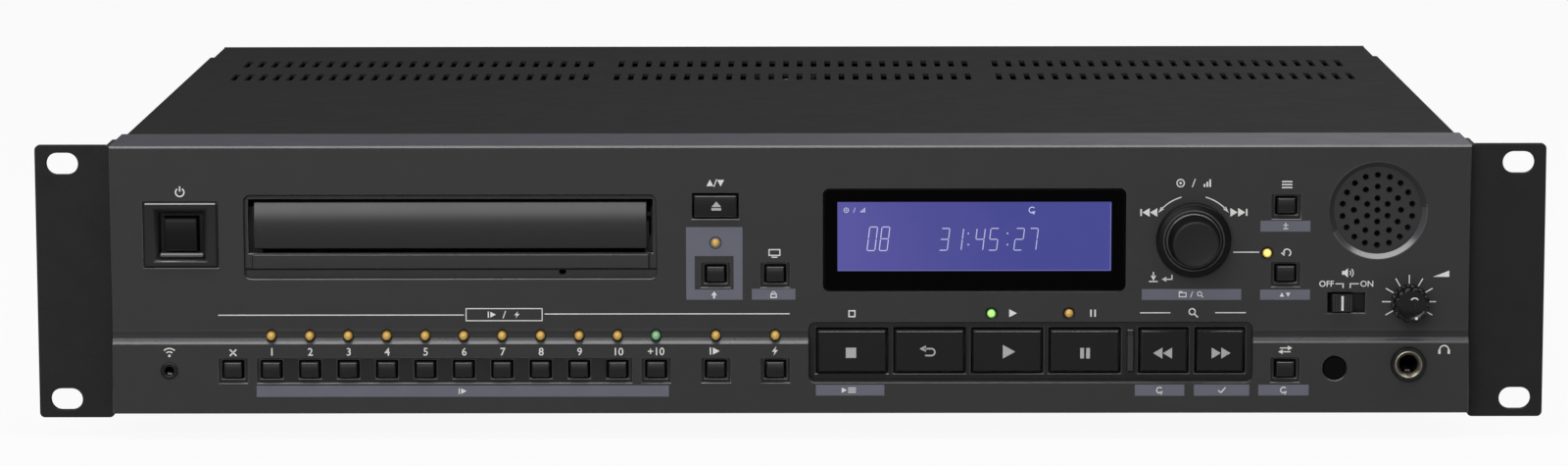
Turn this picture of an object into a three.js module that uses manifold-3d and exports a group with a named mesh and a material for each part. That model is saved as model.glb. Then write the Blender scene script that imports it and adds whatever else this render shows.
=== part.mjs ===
import * as THREE from "three";
import { mergeVertices } from "three/addons/utils/BufferGeometryUtils.js";
import Module from "manifold-3d";

const wasm = await Module();
wasm.setup();

// A two-unit 19 inch rack disc player. Lengths are in millimetres: x runs to the right, y away from
// the user, z up. Inside the body group y = 0 is the upper face of the front panel and z = 0 its
// lower edge; the whole is then set on its feet, centred over the floor.

// Clearances and stock
const fitGap = 0.3;
const runGap = 0.4;
const cutOver = 2;
const sheet = 1.2;
const coverSheet = 1;
const boardThick = 1.6;
const halfShare = 0.5;

// Front panel
const panelWidth = 433.8;
const panelHeight = 85.9;
const panelDepth = 33;
const panelWall = 3;
const panelTopWall = 2.5;
const panelEdge = 0.6;
const stepOut = 2;
const ledgeRise = 22.5;
const ledgeFillet = 4.9;
const ledgeSteps = 5;

// Cover and chassis
const caseDepth = 304.3;
const coverInset = 2.6;
const coverSkirt = 1.5;
const bulgeOut = 2.7;
const bulgeFoot = 12;
const bulgeTopDrop = 1.2;
const bulgeRearMargin = 26;
const bulgeFrontMargin = 2;
const ventSlotWidth = 2.1;
const ventSlotLength = 20;
const ventPitch = 5;
const ventGroupPitch = 136;
const ventRearInset = 61.3;
const ventRowPitch = 43;
const ventGroups = 3;
const ventsPerGroup = 26;
const frontRailHeight = 30;
const tongueFront = 14;
const tongueFoot = 6;
const tongueHeight = 73;

// Rack ears and feet
const earWidth = 24.1;
const earHeight = 88.1;
const earDrop = 2.4;
const earSetBack = 5;
const earThick = 2.5;
const earFlangeDepth = 24.3;
const earCorner = 1.6;
const slotInsetX = 8.75;
const slotInsetZ = 5.95;
const slotLength = 10.2;
const slotHeight = 7;
const footHeight = 8.1;
const footRadius = 15;
const footTaper = 1.5;
const footInset = 46.3;
const footFrontY = 62;
const footRearInset = 52.3;

// Columns of the front panel, those at its ends counted from its ends
const powerInset = 22.5;
const remoteInset = 18.4;
const grilleInset = 29.6;
const sliderInset = 39.3;
const levelInset = 19.3;
const phonesInset = 19.5;
const infraredInset = 43;
const trayX = -108.3;
const shiftX = -23.7;
const displayX = -4.7;
const menuX = 158.1;
const firstKeyX = -165.8;
const keyPitch = 12.3;
const clearX = -178.1;
const stopX = 19.8;
const jogLedX = 152.2;
const ledLeftOfKey = 5.05;

// Rows of the front panel, as shares of its height
const keyRowShare = 0.1665;
const ledRowShare = 0.2922;
const middleRowShare = 0.5215;
const upperRowShare = 0.7753;
const shiftLedShare = 0.638;
const jogLedShare = 0.5972;
const powerShare = 0.6694;
const dialShare = 0.6484;
const levelShare = 0.4144;
const sliderShare = 0.4109;
const phonesShare = 0.1839;
const infraredShare = 0.1688;
const remoteShare = 0.1618;
const grilleDrop = 21;

// The height that the transport keys, their lamps and the display leave free, shared out
const underKeysShare = 0.403;
const overKeysShare = 0.0485;
const underLensShare = 0.1245;

// Keys
const keyWidth = 5.7;
const keyHeight = 4.9;
const keyHoleWidth = 7;
const keyHoleHeight = 5.9;
const keyProud = 1;
const keyTravel = 0.7;
const keyPocketWidth = 9.1;
const keyPocketHeight = 7.8;
const keyPocketDepth = 0.5;
const keyPocketDrop = 0.4;
const flangeThick = 1.1;
const flangeRim = 0.7;
const stemWidth = 2.4;
const openWidth = 13.6;
const openHeight = 7;
const openHoleRim = 0.6;
const transportWidth = 22;
const searchWidth = 15;
const transportHeight = 13.7;
const transportHoleRim = 0.55;
const transportRim = 0.45;
const transportTravel = 1;
const transportProud = 1.4;
const transportGap = 2.8;
const searchGap = 3;
const dividerWidth = 2.3;
const dividerRoomLeft = 2.45;
const dividerRoomRight = 1.95;
const pocketDrop = 0.4;
const pocketRim = 2.65;
const pocketRise = 2.5;
const pocketSink = 0.5;
const pocketCorner = 2;
const pocketPadRim = 2;

// Power button
const bezelWidth = 23.2;
const bezelHeight = 20.5;
const bezelProud = 0.7;
const bezelSeat = 0.8;
const throatOuter = 17.8;
const throatMouth = 16.7;
const throatInner = 13.8;
const throatFunnel = 2.2;
const powerCap = 10.5;
const powerCapBack = 0.3;
const powerTravel = 3.5;
const powerGuide = 1.5;
const powerSwitchDepth = 15;
const powerSwitchSide = 14;

// Control board and what stands on it
const boardY = 11;
const switchBody = 6;
const switchTall = 3.6;
const switchTip = 1.2;
const switchTipSide = 2.4;
const pressSlack = 0.25;
const ledRadius = 1.5;
const ledHoleRadius = 1.85;
const ledProud = 0.5;
const boardInset = 7.9;
const boardStripShare = 0.4831;
const boardFoot = 3;
const boardUnderTop = 3.4;
const boardRightTo = 166;
const boardRightFrom = -36;
const powerTabHalf = 13;
const powerTabShare = 0.8149;
const bossRadius = 3;
const remoteRadius = 2.2;
const remoteBore = 1.75;

// Tray opening
const trayPocketSide = 1.2;
const trayPocketHeight = 26.7;
const trayPocketZ = 56.7;
const trayPocketDepth = 1.2;
const trayPocketCorner = 2;
const openingWidth = 129.1;
const openingFoot = 51.4;
const openingHeight = 17.35;
const trayBarSide = 1.2;
const trayBarHeight = 4.7;
const trayBarZ = 48.9;
const pinHoleX = -72.6;
const pinHoleZ = 45.5;
const pinHoleRadius = 1.1;

// Display
const lensX = 58.85;
const lensWidth = 96;
const lensHeight = 32.5;
const lensCorner = 2;
const lensBack = 0.3;
const lensRim = 1.5;
const lensFlange = 1.2;
const moduleWidth = 93;
const moduleHeight = 29;
const moduleGlassRim = 2.2;

// Dial, level knob, speaker and its switch
const dialX = 128.6;
const dialReach = 12.5;
const dialSkirtRadius = 11.9;
const dialSkirtThick = 1.8;
const dialBaseRadius = 8.7;
const dialFaceRadius = 7.3;
const dialRound = 1;
const dialPush = 0.8;
const shaftRadius = 3;
const shaftFront = 9;
const encoderSide = 14;
const encoderTall = 6.5;
const levelRadius = 6;
const levelReach = 8;
const levelLift = 0.6;
const levelRoundShare = 0.85;
const levelRibs = 12;
const levelRibDepth = 0.45;
const levelShaft = 2;
const levelStemEnd = 8;
const potSide = 10;
const potTall = 5.5;
const grilleRadius = 13.9;
const dishRadius = 15.6;
const dishDepth = 1.7;
const grilleHoleRadius = 1;
const grilleRings = 3;
const grilleRingPitch = 3.75;
const driverRadius = 16.8;
const driverRim = 1.5;
const driverMagnet = 8.5;
const driverCone = 8;
const driverDeep = 6;
const sliderSlotWidth = 12;
const sliderSlotHeight = 6.6;
const sliderWidth = 6.6;
const sliderHeight = 5.7;
const sliderTravel = 2.7;
const sliderProud = 1.5;
const sliderBodyTall = 5;

// Headphone jack and infrared window
const phonesRing = 5.45;
const phonesThread = 4.4;
const phonesBore = 3.25;
const phonesProud = 1.2;
const phonesDeep = 26;
const phonesBodySide = 12;
const infraredRadius = 3.55;
const infraredFlange = 1;

// Disc tray and loader
const spindleY = 78;
const doorSide = 1.85;
const doorUnder = 1.45;
const doorOver = 0.8;
const doorThick = 3.2;
const doorBulge = 1.4;
const doorFront = 1;
const traySide = 1.35;
const trayLength = 186;
const trayThick = 5.5;
const trayRise = 2.75;
const discRadius = 60;
const discPocketDepth = 2.8;
const traySlotHalf = 20;
const gearModule = 1.5;
const gearTeeth = 16;
const gearY = 26;
const gearThick = 3.4;
const rackPitchX = -56;
const rackTeeth = 35;
const rackBack = 2.6;
const toothThin = 0.5;
const addendumShare = 0.8;
const dedendumShare = 1.2;
const flankShare = 0.36;
const loaderFront = 15;
const loaderRear = 200;
const loaderWall = 2.5;
const loaderDeck = 44.5;
const loaderDeckThick = 2;
const ledgeWidth = 2.1;
const loaderWellHalf = 46;
const loaderWellFront = 60;
const loaderWellRear = 166;
const tabLength = 14;
const tabReach = 2.6;
const tabThick = 1.5;
const legSide = 10;
const legFrontY = 44;
const legRearY = 190;

// Traverse, turntable, pickup and clamp
const traverseHalf = 54;
const traverseFront = 46;
const traverseRear = 168;
const traverseFoot = 36;
const traverseThick = 2;
const postInset = 5;
const postRadius = 2.5;
const postHead = 4.5;
const statorRadius = 11;
const statorTop = 49;
const spindleRadius = 1.5;
const platformRadius = 15;
const platformTop = 54.3;
const platformThick = 2;
const coneRadius = 7.4;
const coneTopRadius = 5;
const coneTall = 2;
const railX = 24;
const railRadius = 1.5;
const railZ = 45.5;
const railFrontY = 90;
const railRearY = 160;
const railBlock = 2;
const railBlockHalf = 28;
const pickupInner = 29;
const pickupHalfWidth = 20;
const pickupHalfLength = 12;
const pickupFoot = 41;
const pickupTop = 50;
const pickupEarWidth = 28;
const lensRadius = 3.5;
const lensTall = 2;
const lensOffset = 6;
const clampFoot = 61.5;
const clampFlange = 16;
const clampFlangeThick = 2.2;
const clampNeck = 9.5;
const clampTopFlange = 14;
const bridgeFoot = 65;
const bridgeThick = 1.5;
const bridgeHole = 11.5;
const bridgeHalfLength = 20;

// Rear panel, main board, inlet and transformer
const rearInset = 2.3;
const rearJackReach = 8.2;
const mainBoardZ = 8;
const mainBoardLeft = 44;
const mainBoardInset = 5;
const mainBoardFront = 60;
const mainBoardBehind = 6;
const standoffRadius = 3;
const connectorZ = 24;
const balancedInset = 22;
const balancedPitch = 34;
const balancedSide = 26;
const balancedBody = 18;
const balancedCup = 11.5;
const balancedBore = 9.4;
const balancedBoreDeep = 14;
const balancedProud = 2;
const contactRadius = 1.2;
const contactCircle = 5.2;
const contactLength = 11;
const phonoFromBalanced = 40;
const phonoPitch = 16;
const phonoCount = 3;
const phonoRadius = 4.1;
const phonoBore = 1.6;
const portFromPhono = 57;
const portWidth = 30;
const portHeight = 8.4;
const portProud = 4;
const inletInset = 29;
const inletZ = 22;
const inletWidth = 28;
const inletHeight = 21;
const inletFlangeWidth = 50;
const inletFlange = 2;
const inletCavityWidth = 24.2;
const inletCavityHeight = 16.6;
const inletCavityDeep = 14;
const inletBodyDeep = 18;
const inletWall = 2;
const inletPinX = 7;
const inletPinRise = 4;
const inletPinWidth = 2;
const inletPinHeight = 4;
const inletPinLength = 11;
const coreX = -2;
const coreRadius = 41;
const coreInner = 13;
const coreFrontY = 206;
const coreThick = 32;
const coreFootGap = 1.9;
const coreRound = 6;
const coreBevelShare = 0.3;
const bracketWidth = 40;
const bracketThick = 2;
const bracketFoot = 16;
const bracketBolt = 4;

// Derived places
const half = (length) => length * halfShare;
const panelHalf = half(panelWidth);
const coverHalf = panelHalf - coverInset;
const rackHalf = panelHalf + fitGap + earWidth;
const slotX = rackHalf - slotInsetX;
const slotSpacingZ = earHeight - 2 * slotInsetZ;
const footX = coverHalf - footInset;
const lowerFace = -stepOut;
const chassisHalf = coverHalf - coverSheet - fitGap;
const caseFront = panelDepth + fitGap;
const rearPanelY = caseDepth - rearInset;
const footRearY = caseDepth - footRearInset;
const ventRearRowY = caseDepth - ventRearInset;
const ventFrontRowY = ventRearRowY - ventRowPitch;
const chassisRear = rearPanelY - fitGap;
const coverUnder = panelHeight - coverSheet;
const chassisTop = coverUnder - fitGap;
const powerX = powerInset - panelHalf;
const remoteX = remoteInset - panelHalf;
const grilleX = panelHalf - grilleInset;
const sliderX = panelHalf - sliderInset;
const levelX = panelHalf - levelInset;
const phonesX = panelHalf - phonesInset;
const infraredX = panelHalf - infraredInset;
const keyRowZ = keyRowShare * panelHeight;
const ledRowZ = ledRowShare * panelHeight;
const middleRowZ = middleRowShare * panelHeight;
const upperRowZ = upperRowShare * panelHeight;
const shiftLedZ = shiftLedShare * panelHeight;
const jogLedZ = jogLedShare * panelHeight;
const powerZ = powerShare * panelHeight;
const dialZ = dialShare * panelHeight;
const levelZ = levelShare * panelHeight;
const sliderZ = sliderShare * panelHeight;
const phonesZ = phonesShare * panelHeight;
const infraredZ = infraredShare * panelHeight;
const remoteZ = remoteShare * panelHeight;
const grilleZ = panelHeight - grilleDrop;
const transportFlange = transportHeight + 2 * (transportHoleRim + transportRim);
const lensFrame = lensHeight + 2 * lensRim;
const stackHeight = transportFlange + 2 * bossRadius + lensFrame;
const stackFree = panelHeight - 2 * panelTopWall - stackHeight;
const transportTop = panelTopWall + underKeysShare * stackFree + transportFlange;
const transportZ = transportTop - half(transportFlange);
const transportPitch = transportWidth + transportGap;
const pauseRight = stopX + 3 * transportPitch + half(transportWidth);
const dividerX = pauseRight + dividerRoomLeft + half(dividerWidth);
const searchLeft = dividerX + half(dividerWidth) + dividerRoomRight;
const searchBackX = searchLeft + half(searchWidth);
const searchForwardX = searchBackX + searchWidth + searchGap;
const pocketLeft = stopX - half(transportWidth) - pocketRim;
const pocketRight = searchForwardX + half(searchWidth) + pocketRim;
const pocketX = half(pocketLeft + pocketRight);
const pocketWidth = pocketRight - pocketLeft;
const pocketHeight = transportHeight + 2 * pocketRise;
const pocketZ = transportZ - pocketDrop;
const playLedZ = transportTop + overKeysShare * stackFree + bossRadius;
const lensZ = playLedZ + bossRadius + underLensShare * stackFree + half(lensFrame);
const boardHalf = panelHalf - boardInset;
const boardStripTop = boardStripShare * panelHeight;
const boardTop = panelHeight - panelTopWall - boardUnderTop;
const powerTabTop = powerTabShare * panelHeight;
const boardFront = boardY;
const boardBack = boardY + boardThick;
const throatDepth = boardFront - powerTravel - flangeThick - 2 * fitGap;
const dialLift = dialPush + fitGap;
const shaftBack = boardFront - dialPush - 2 * fitGap;
const switchTipY = boardFront - switchTall - switchTip;
const rearFace = rearPanelY + sheet;
const rearmost = rearFace + rearJackReach;
const trayPocketWidth = openingWidth + 2 * trayPocketSide;
const trayBarWidth = openingWidth - 2 * trayBarSide;
const doorWidth = openingWidth - 2 * doorSide;
const doorFoot = openingFoot + doorUnder;
const doorHeight = openingHeight - doorUnder - doorOver;
const trayWidth = openingWidth - 2 * traySide;
const trayFoot = doorFoot + trayRise;
const trayTop = trayFoot + trayThick;
const gearRadius = half(gearModule * gearTeeth);
const gearX = rackPitchX + gearRadius;
const gearFoot = trayFoot - runGap - gearThick;
const toothPitch = gearModule * Math.PI;
const loaderDeckTop = loaderDeck + loaderDeckThick;
const loaderInner = half(trayWidth) + runGap;
const loaderOuter = loaderInner + loaderWall;
const loaderTop = bridgeFoot - fitGap;
const discPocketRadius = discRadius + 2 * runGap;
const coreZ = coreRadius + coreFootGap;
const mainBoardRear = rearPanelY - mainBoardBehind;
const mainBoardRight = chassisHalf - mainBoardInset;
const balancedLeftX = mainBoardRight - balancedInset;
const balancedRightX = balancedLeftX - balancedPitch;
const phonoX = balancedRightX - phonoFromBalanced;
const portMiddle = phonoX - portFromPhono;
const inletX = inletInset - chassisHalf;

// Solids from three.js geometry
function solid(geometry) {
  const bare = geometry.clone();
  bare.deleteAttribute("normal");
  bare.deleteAttribute("uv");
  const merged = mergeVertices(bare);
  return new wasm.Manifold(
    new wasm.Mesh({
      numProp: 3,
      vertProperties: new Float32Array(merged.attributes.position.array),
      triVerts: new Uint32Array(merged.index.array),
    }),
  );
}

function block(x0, x1, y0, y1, z0, z1) {
  const g = new THREE.BoxGeometry(x1 - x0, y1 - y0, z1 - z0);
  g.translate(half(x0 + x1), half(y0 + y1), half(z0 + z1));
  return solid(g);
}

// A block centred on (x, z) that runs from y0 to y1
function bar(x, z, width, height, y0, y1) {
  return block(x - half(width), x + half(width), y0, y1, z - half(height), z + half(height));
}

function roundedShape(width, height, radius) {
  const w = half(width);
  const h = half(height);
  const s = new THREE.Shape();
  s.moveTo(-w + radius, -h);
  s.lineTo(w - radius, -h);
  s.absarc(w - radius, -h + radius, radius, -Math.PI / 2, 0);
  s.absarc(w - radius, h - radius, radius, 0, Math.PI / 2);
  s.absarc(-w + radius, h - radius, radius, Math.PI / 2, Math.PI);
  s.absarc(-w + radius, -h + radius, radius, Math.PI, Math.PI * 1.5);
  return s;
}

// A shape drawn in x and z, pulled along y from y0 to y1 about the point (x, z)
function slab(shape, x, z, y0, y1, steps = 3) {
  const g = new THREE.ExtrudeGeometry(shape, {
    depth: y1 - y0,
    bevelEnabled: false,
    curveSegments: steps,
  });
  g.rotateX(Math.PI / 2);
  g.translate(x, y1, z);
  return solid(g);
}

// A shape drawn in x and y, pulled along z from z0 to z1
function plan(shape, z0, z1, steps = 4) {
  const g = new THREE.ExtrudeGeometry(shape, {
    depth: z1 - z0,
    bevelEnabled: false,
    curveSegments: steps,
  });
  g.translate(0, 0, z0);
  return solid(g);
}

// A shape drawn in y and z, pulled along x from x0 to x1
function section(points, x0, x1) {
  const shape = new THREE.Shape(points.map(([y, z]) => new THREE.Vector2(y, z)));
  const g = new THREE.ExtrudeGeometry(shape, { depth: x1 - x0, bevelEnabled: false });
  g.rotateY(Math.PI / 2);
  g.rotateX(Math.PI / 2);
  g.translate(x0, 0, 0);
  return solid(g);
}

// A ring or disc turned about the y axis through (x, z); points are [radius, y]
function turned(points, x, z, sides) {
  const area = points.reduce((sum, [r, y], i) => {
    const [r2, y2] = points[(i + 1) % points.length];
    return sum + r * y2 - r2 * y;
  }, 0);
  const ordered = area > 0 ? points : [...points].reverse();
  const outline = ordered.map(([r, y]) => new THREE.Vector2(r, y));
  outline.push(outline[0].clone());
  const g = new THREE.LatheGeometry(outline, sides);
  g.translate(x, 0, z);
  return solid(g);
}

function rodY(x, z, radius, y0, y1, sides = 12) {
  return turned([[0, y0], [radius, y0], [radius, y1], [0, y1]], x, z, sides);
}

// The same turned about a z axis through (x, y); points are [radius, z]
function turnedUp(points, x, y, sides) {
  return turned(points, 0, 0, sides).rotate([90, 0, 0]).translate([x, y, 0]);
}

function rodZ(x, y, radius, z0, z1, sides = 12) {
  return turnedUp([[0, z0], [radius, z0], [radius, z1], [0, z1]], x, y, sides);
}

function joined(solids) {
  return solids.reduce((sum, s) => sum.add(s));
}

function cut(from, solids) {
  return solids.reduce((rest, s) => rest.subtract(s), from);
}

// Finishes
function look(color, roughness, metalness = 0) {
  return new THREE.MeshStandardMaterial({ color, roughness, metalness, flatShading: true });
}

const finishes = {
  panel: look(0x3a3a3b, 0.5),
  cover: look(0x2e2e2e, 0.6, 0.3),
  ear: look(0x262626, 0.65, 0.3),
  zinc: look(0xa8aaa6, 0.4, 0.9),
  rubber: look(0x1c1c1c, 0.85),
  cap: look(0x262626, 0.4),
  gloss: look(0x121214, 0.08),
  door: look(0x2a2a2c, 0.15),
  board: look(0x2f5d3a, 0.5),
  white: look(0xd8d6cf, 0.5),
  blackPlastic: look(0x1a1a1b, 0.45),
  greyPlastic: look(0x55575a, 0.5),
  steel: look(0xb4b6b8, 0.3, 1),
  tape: look(0xe0dcc8, 0.55),
};

function piece(name, made, finish, x = 0, y = 0, z = 0) {
  const { vertProperties, triVerts, numProp } = made.getMesh();
  const g = new THREE.BufferGeometry();
  const data = new THREE.InterleavedBuffer(vertProperties, numProp);
  g.setAttribute("position", new THREE.InterleavedBufferAttribute(data, 3, 0));
  g.setIndex(new THREE.BufferAttribute(triVerts, 1));
  const mesh = new THREE.Mesh(g.toNonIndexed(), finish);
  mesh.geometry.computeVertexNormals();
  mesh.name = name;
  mesh.position.set(x, y, z);
  return mesh;
}

// The controls: where each one stands, how large it is and how far it is pressed
const smallKeySize = {
  width: keyWidth,
  height: keyHeight,
  rim: half(keyHoleWidth - keyWidth) + flangeRim,
  proud: keyProud,
  travel: keyTravel,
};
const openKeySize = {
  width: openWidth,
  height: openHeight,
  rim: openHoleRim + flangeRim,
  proud: keyProud,
  travel: keyTravel,
};
const transportSize = {
  rim: transportHoleRim + transportRim,
  width: transportWidth,
  height: transportHeight,
  proud: transportProud - pocketSink,
  travel: transportTravel,
};
const searchSize = { ...transportSize, width: searchWidth };

const keys = [
  { name: "open_close_button", x: shiftX, z: upperRowZ, face: 0, size: openKeySize },
  { name: "shift_button", x: shiftX, z: middleRowZ, face: 0, size: smallKeySize },
  { name: "display_button", x: displayX, z: middleRowZ, face: 0, size: smallKeySize },
  { name: "menu_button", x: menuX, z: upperRowZ, face: 0, size: smallKeySize },
  { name: "jog_button", x: menuX, z: middleRowZ, face: 0, size: smallKeySize },
  { name: "play_mode_button", x: menuX, z: keyRowZ, face: lowerFace, size: smallKeySize },
  { name: "clear_button", x: clearX, z: keyRowZ, face: lowerFace, size: smallKeySize },
  { name: "cue_button", x: shiftX, z: keyRowZ, face: lowerFace, size: smallKeySize },
  { name: "flash_button", x: displayX, z: keyRowZ, face: lowerFace, size: smallKeySize },
];
const numberKeys = 11;
for (let i = 0; i < numberKeys; i += 1) {
  const last = i === numberKeys - 1;
  keys.push({
    name: last ? "track_key_plus_10" : "track_key_" + (i + 1),
    x: firstKeyX + i * keyPitch,
    z: keyRowZ,
    face: lowerFace,
    size: smallKeySize,
  });
}
["stop_button", "call_button", "play_button", "pause_button"].forEach((name, i) => {
  const x = stopX + i * transportPitch;
  keys.push({ name, x, z: transportZ, face: 0, size: transportSize });
});
keys.push(
  { name: "search_back_button", x: searchBackX, z: transportZ, face: 0, size: searchSize },
  { name: "search_forward_button", x: searchForwardX, z: transportZ, face: 0, size: searchSize },
);

const leds = [
  ...Array.from({ length: numberKeys }, (_, i) => [firstKeyX + i * keyPitch, ledRowZ, lowerFace]),
  [shiftX, ledRowZ, lowerFace],
  [displayX, ledRowZ, lowerFace],
  [shiftX, shiftLedZ, 0],
  [stopX + 2 * transportPitch - ledLeftOfKey, playLedZ, 0],
  [stopX + 3 * transportPitch - ledLeftOfKey, playLedZ, 0],
  [jogLedX, jogLedZ, 0],
];

const isTransport = (key) => key.z === transportZ;
const keyHole = (key) => {
  if (isTransport(key)) {
    return [key.size.width + 2 * transportHoleRim, key.size.height + 2 * transportHoleRim];
  }
  if (key.size === openKeySize) {
    return [openWidth + 2 * openHoleRim, openHeight + 2 * openHoleRim];
  }
  return [keyHoleWidth, keyHoleHeight];
};

// Front panel: a moulded shell with a ledge, an opening for the tray and a hole for each control
function ledgeCurve(back) {
  const points = [];
  const turn = 2 * Math.atan2(stepOut, ledgeFillet);
  const radius = ledgeFillet / Math.sin(turn);
  for (let i = 0; i <= ledgeSteps; i += 1) {
    const a = (turn * i) / ledgeSteps;
    const y = back - radius * (1 - Math.cos(a));
    points.push([y, ledgeRise + ledgeFillet - radius * Math.sin(a)]);
  }
  return points;
}

function frontPanel() {
  const outside = [
    [panelDepth, 0],
    [panelDepth, panelHeight],
    [panelEdge, panelHeight],
    [0, panelHeight - panelEdge],
    ...ledgeCurve(0),
    [lowerFace, 0],
  ];
  const inside = [
    [panelDepth + cutOver, panelTopWall],
    [panelDepth + cutOver, panelHeight - panelTopWall],
    [panelWall, panelHeight - panelTopWall],
    ...ledgeCurve(panelWall),
    [panelWall - stepOut, panelTopWall],
  ];
  const innerHalf = chassisHalf + fitGap;
  const hull = section(outside, -panelHalf, panelHalf).subtract(section(inside, -innerHalf, innerHalf));
  const padWidth = pocketWidth + 2 * pocketPadRim;
  const padHeight = pocketHeight + 2 * pocketPadRim;
  const shell = hull.add(bar(pocketX, pocketZ, padWidth, padHeight, 0, panelWall));
  const through = [-stepOut - cutOver, panelWall + cutOver];
  const cuts = [];

  // the tray's pocket and opening, with the bar left standing below the opening
  const pocketShape = roundedShape(trayPocketWidth, trayPocketHeight, trayPocketCorner);
  const pocket = slab(pocketShape, trayX, trayPocketZ, -cutOver, trayPocketDepth);
  cuts.push(pocket.subtract(bar(trayX, trayBarZ, trayBarWidth, trayBarHeight, 0, panelWall)));
  cuts.push(bar(trayX, openingFoot + half(openingHeight), openingWidth, openingHeight, ...through));
  cuts.push(rodY(pinHoleX, pinHoleZ, pinHoleRadius, ...through, 10));

  // the pocket of the transport keys, with its divider left standing
  const transportShape = roundedShape(pocketWidth, pocketHeight, pocketCorner);
  const tub = slab(transportShape, pocketX, pocketZ, lowerFace - cutOver, pocketSink);
  cuts.push(tub.subtract(bar(dividerX, transportZ, dividerWidth, transportHeight, -pocketSink, panelWall)));

  for (const key of keys) {
    const [width, height] = keyHole(key);
    cuts.push(bar(key.x, key.z, width, height, ...through));
    if (key.size === smallKeySize) {
      const depth = key.face + keyPocketDepth;
      const z = key.z - keyPocketDrop;
      cuts.push(bar(key.x, z, keyPocketWidth, keyPocketHeight, key.face - cutOver, depth));
    }
  }
  const rowWidth = (numberKeys - 2) * keyPitch + keyPocketWidth;
  const rowX = firstKeyX + half((numberKeys - 2) * keyPitch);
  const rowZ = keyRowZ - keyPocketDrop;
  const rowDepth = lowerFace + keyPocketDepth;
  cuts.push(bar(rowX, rowZ, rowWidth, keyPocketHeight, lowerFace - cutOver, rowDepth));
  for (const [x, z] of leds) cuts.push(rodY(x, z, ledHoleRadius, ...through, 8));

  const bezelRoom = [bezelWidth + 2 * fitGap, bezelHeight + 2 * fitGap];
  cuts.push(bar(powerX, powerZ, ...bezelRoom, -cutOver, bezelSeat));
  const throatRoom = throatOuter + 2 * fitGap;
  cuts.push(bar(powerX, powerZ, throatRoom, throatRoom, ...through));
  const lensHole = roundedShape(lensWidth + 2 * fitGap, lensHeight + 2 * fitGap, lensCorner);
  cuts.push(slab(lensHole, lensX, lensZ, ...through));
  cuts.push(rodY(dialX, dialZ, shaftRadius + runGap, ...through, 16));
  cuts.push(rodY(levelX, levelZ, levelShaft + runGap, ...through, 12));
  cuts.push(bar(sliderX, sliderZ, sliderSlotWidth, sliderSlotHeight, ...through));
  cuts.push(rodY(phonesX, phonesZ, phonesThread + fitGap, ...through, 24));
  cuts.push(rodY(infraredX, infraredZ, infraredRadius + fitGap, ...through, 20));
  cuts.push(rodY(remoteX, remoteZ, remoteRadius + fitGap, ...through, 16));

  // the loudspeaker's dish and its rings of holes
  const dish = [[0, -cutOver], [dishRadius + cutOver, -cutOver], [dishRadius, 0], [grilleRadius, dishDepth]];
  cuts.push(turned([...dish, [0, dishDepth]], grilleX, grilleZ, 28));
  cuts.push(rodY(grilleX, grilleZ, grilleHoleRadius, ...through, 6));
  for (let ring = 1; ring <= grilleRings; ring += 1) {
    const count = 6 * ring;
    for (let i = 0; i < count; i += 1) {
      const a = (2 * Math.PI * i) / count;
      const x = grilleX + ring * grilleRingPitch * Math.sin(a);
      const z = grilleZ + ring * grilleRingPitch * Math.cos(a);
      cuts.push(rodY(x, z, grilleHoleRadius, ...through, 6));
    }
  }

  // bosses that carry the control board
  const bossTop = boardFront - fitGap;
  const bosses = bossPlaces.map(([x, z]) => {
    return rodY(x, z, bossRadius, half(panelWall), bossTop, 6);
  });
  return joined([cut(shell, [joined(cuts)]), ...bosses]);
}

const bossHighZ = upperRowZ + keyHeight;
const bossPlaces = [
  [clearX - keyPitch, ledRowZ + ledgeFillet],
  [firstKeyX + half(keyPitch) + 3 * keyPitch, ledRowZ + keyPocketHeight],
  [half(shiftX + displayX), ledRowZ + keyPocketHeight],
  [stopX + transportPitch, playLedZ],
  [half(dialX + menuX), ledRowZ + keyPocketHeight],
  [displayX, bossHighZ],
  [half(lensX + half(lensWidth) + dialX), bossHighZ],
  [half(menuX + levelX), ledRowZ + half(ledgeFillet)],
];

// A push button: cap, flange that holds it behind the panel, and stem towards its switch
function button({ face, size }) {
  const { width, height, proud, travel } = size;
  const wallBack = face + panelWall;
  const flangeFront = wallBack + fitGap;
  const flangeBack = flangeFront + flangeThick;
  const stemEnd = switchTipY - travel - pressSlack;
  const { rim } = size;
  const cap = bar(0, 0, width, height, -proud, flangeFront + half(flangeThick) - face);
  const flange = bar(0, 0, width + 2 * rim, height + 2 * rim, flangeFront - face, flangeBack - face);
  const stem = bar(0, 0, stemWidth, stemWidth, flangeFront - face, stemEnd - face);
  return joined([cap, flange, stem]);
}

// Power button: a bezel with a sloping throat, and the cap that runs in it
function powerBezel() {
  const mouth = half(throatMouth);
  const well = half(throatInner);
  const plate = bar(0, 0, bezelWidth, bezelHeight, -bezelProud, bezelSeat - fitGap);
  const tube = bar(0, 0, throatOuter, throatOuter, 0, throatDepth);
  const funnel = new THREE.CylinderGeometry(well, mouth, throatFunnel + bezelProud, 4, 1);
  funnel.rotateY(Math.PI / 4);
  funnel.scale(Math.SQRT2, 1, Math.SQRT2);
  funnel.translate(0, half(throatFunnel - bezelProud), 0);
  const wellCut = bar(0, 0, throatInner, throatInner, 0, throatDepth - powerGuide);
  const guideSide = powerCap + 2 * runGap;
  const guide = bar(0, 0, guideSide, guideSide, 0, throatDepth + cutOver);
  return cut(plate.add(tube), [solid(funnel), wellCut, guide]);
}

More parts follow.
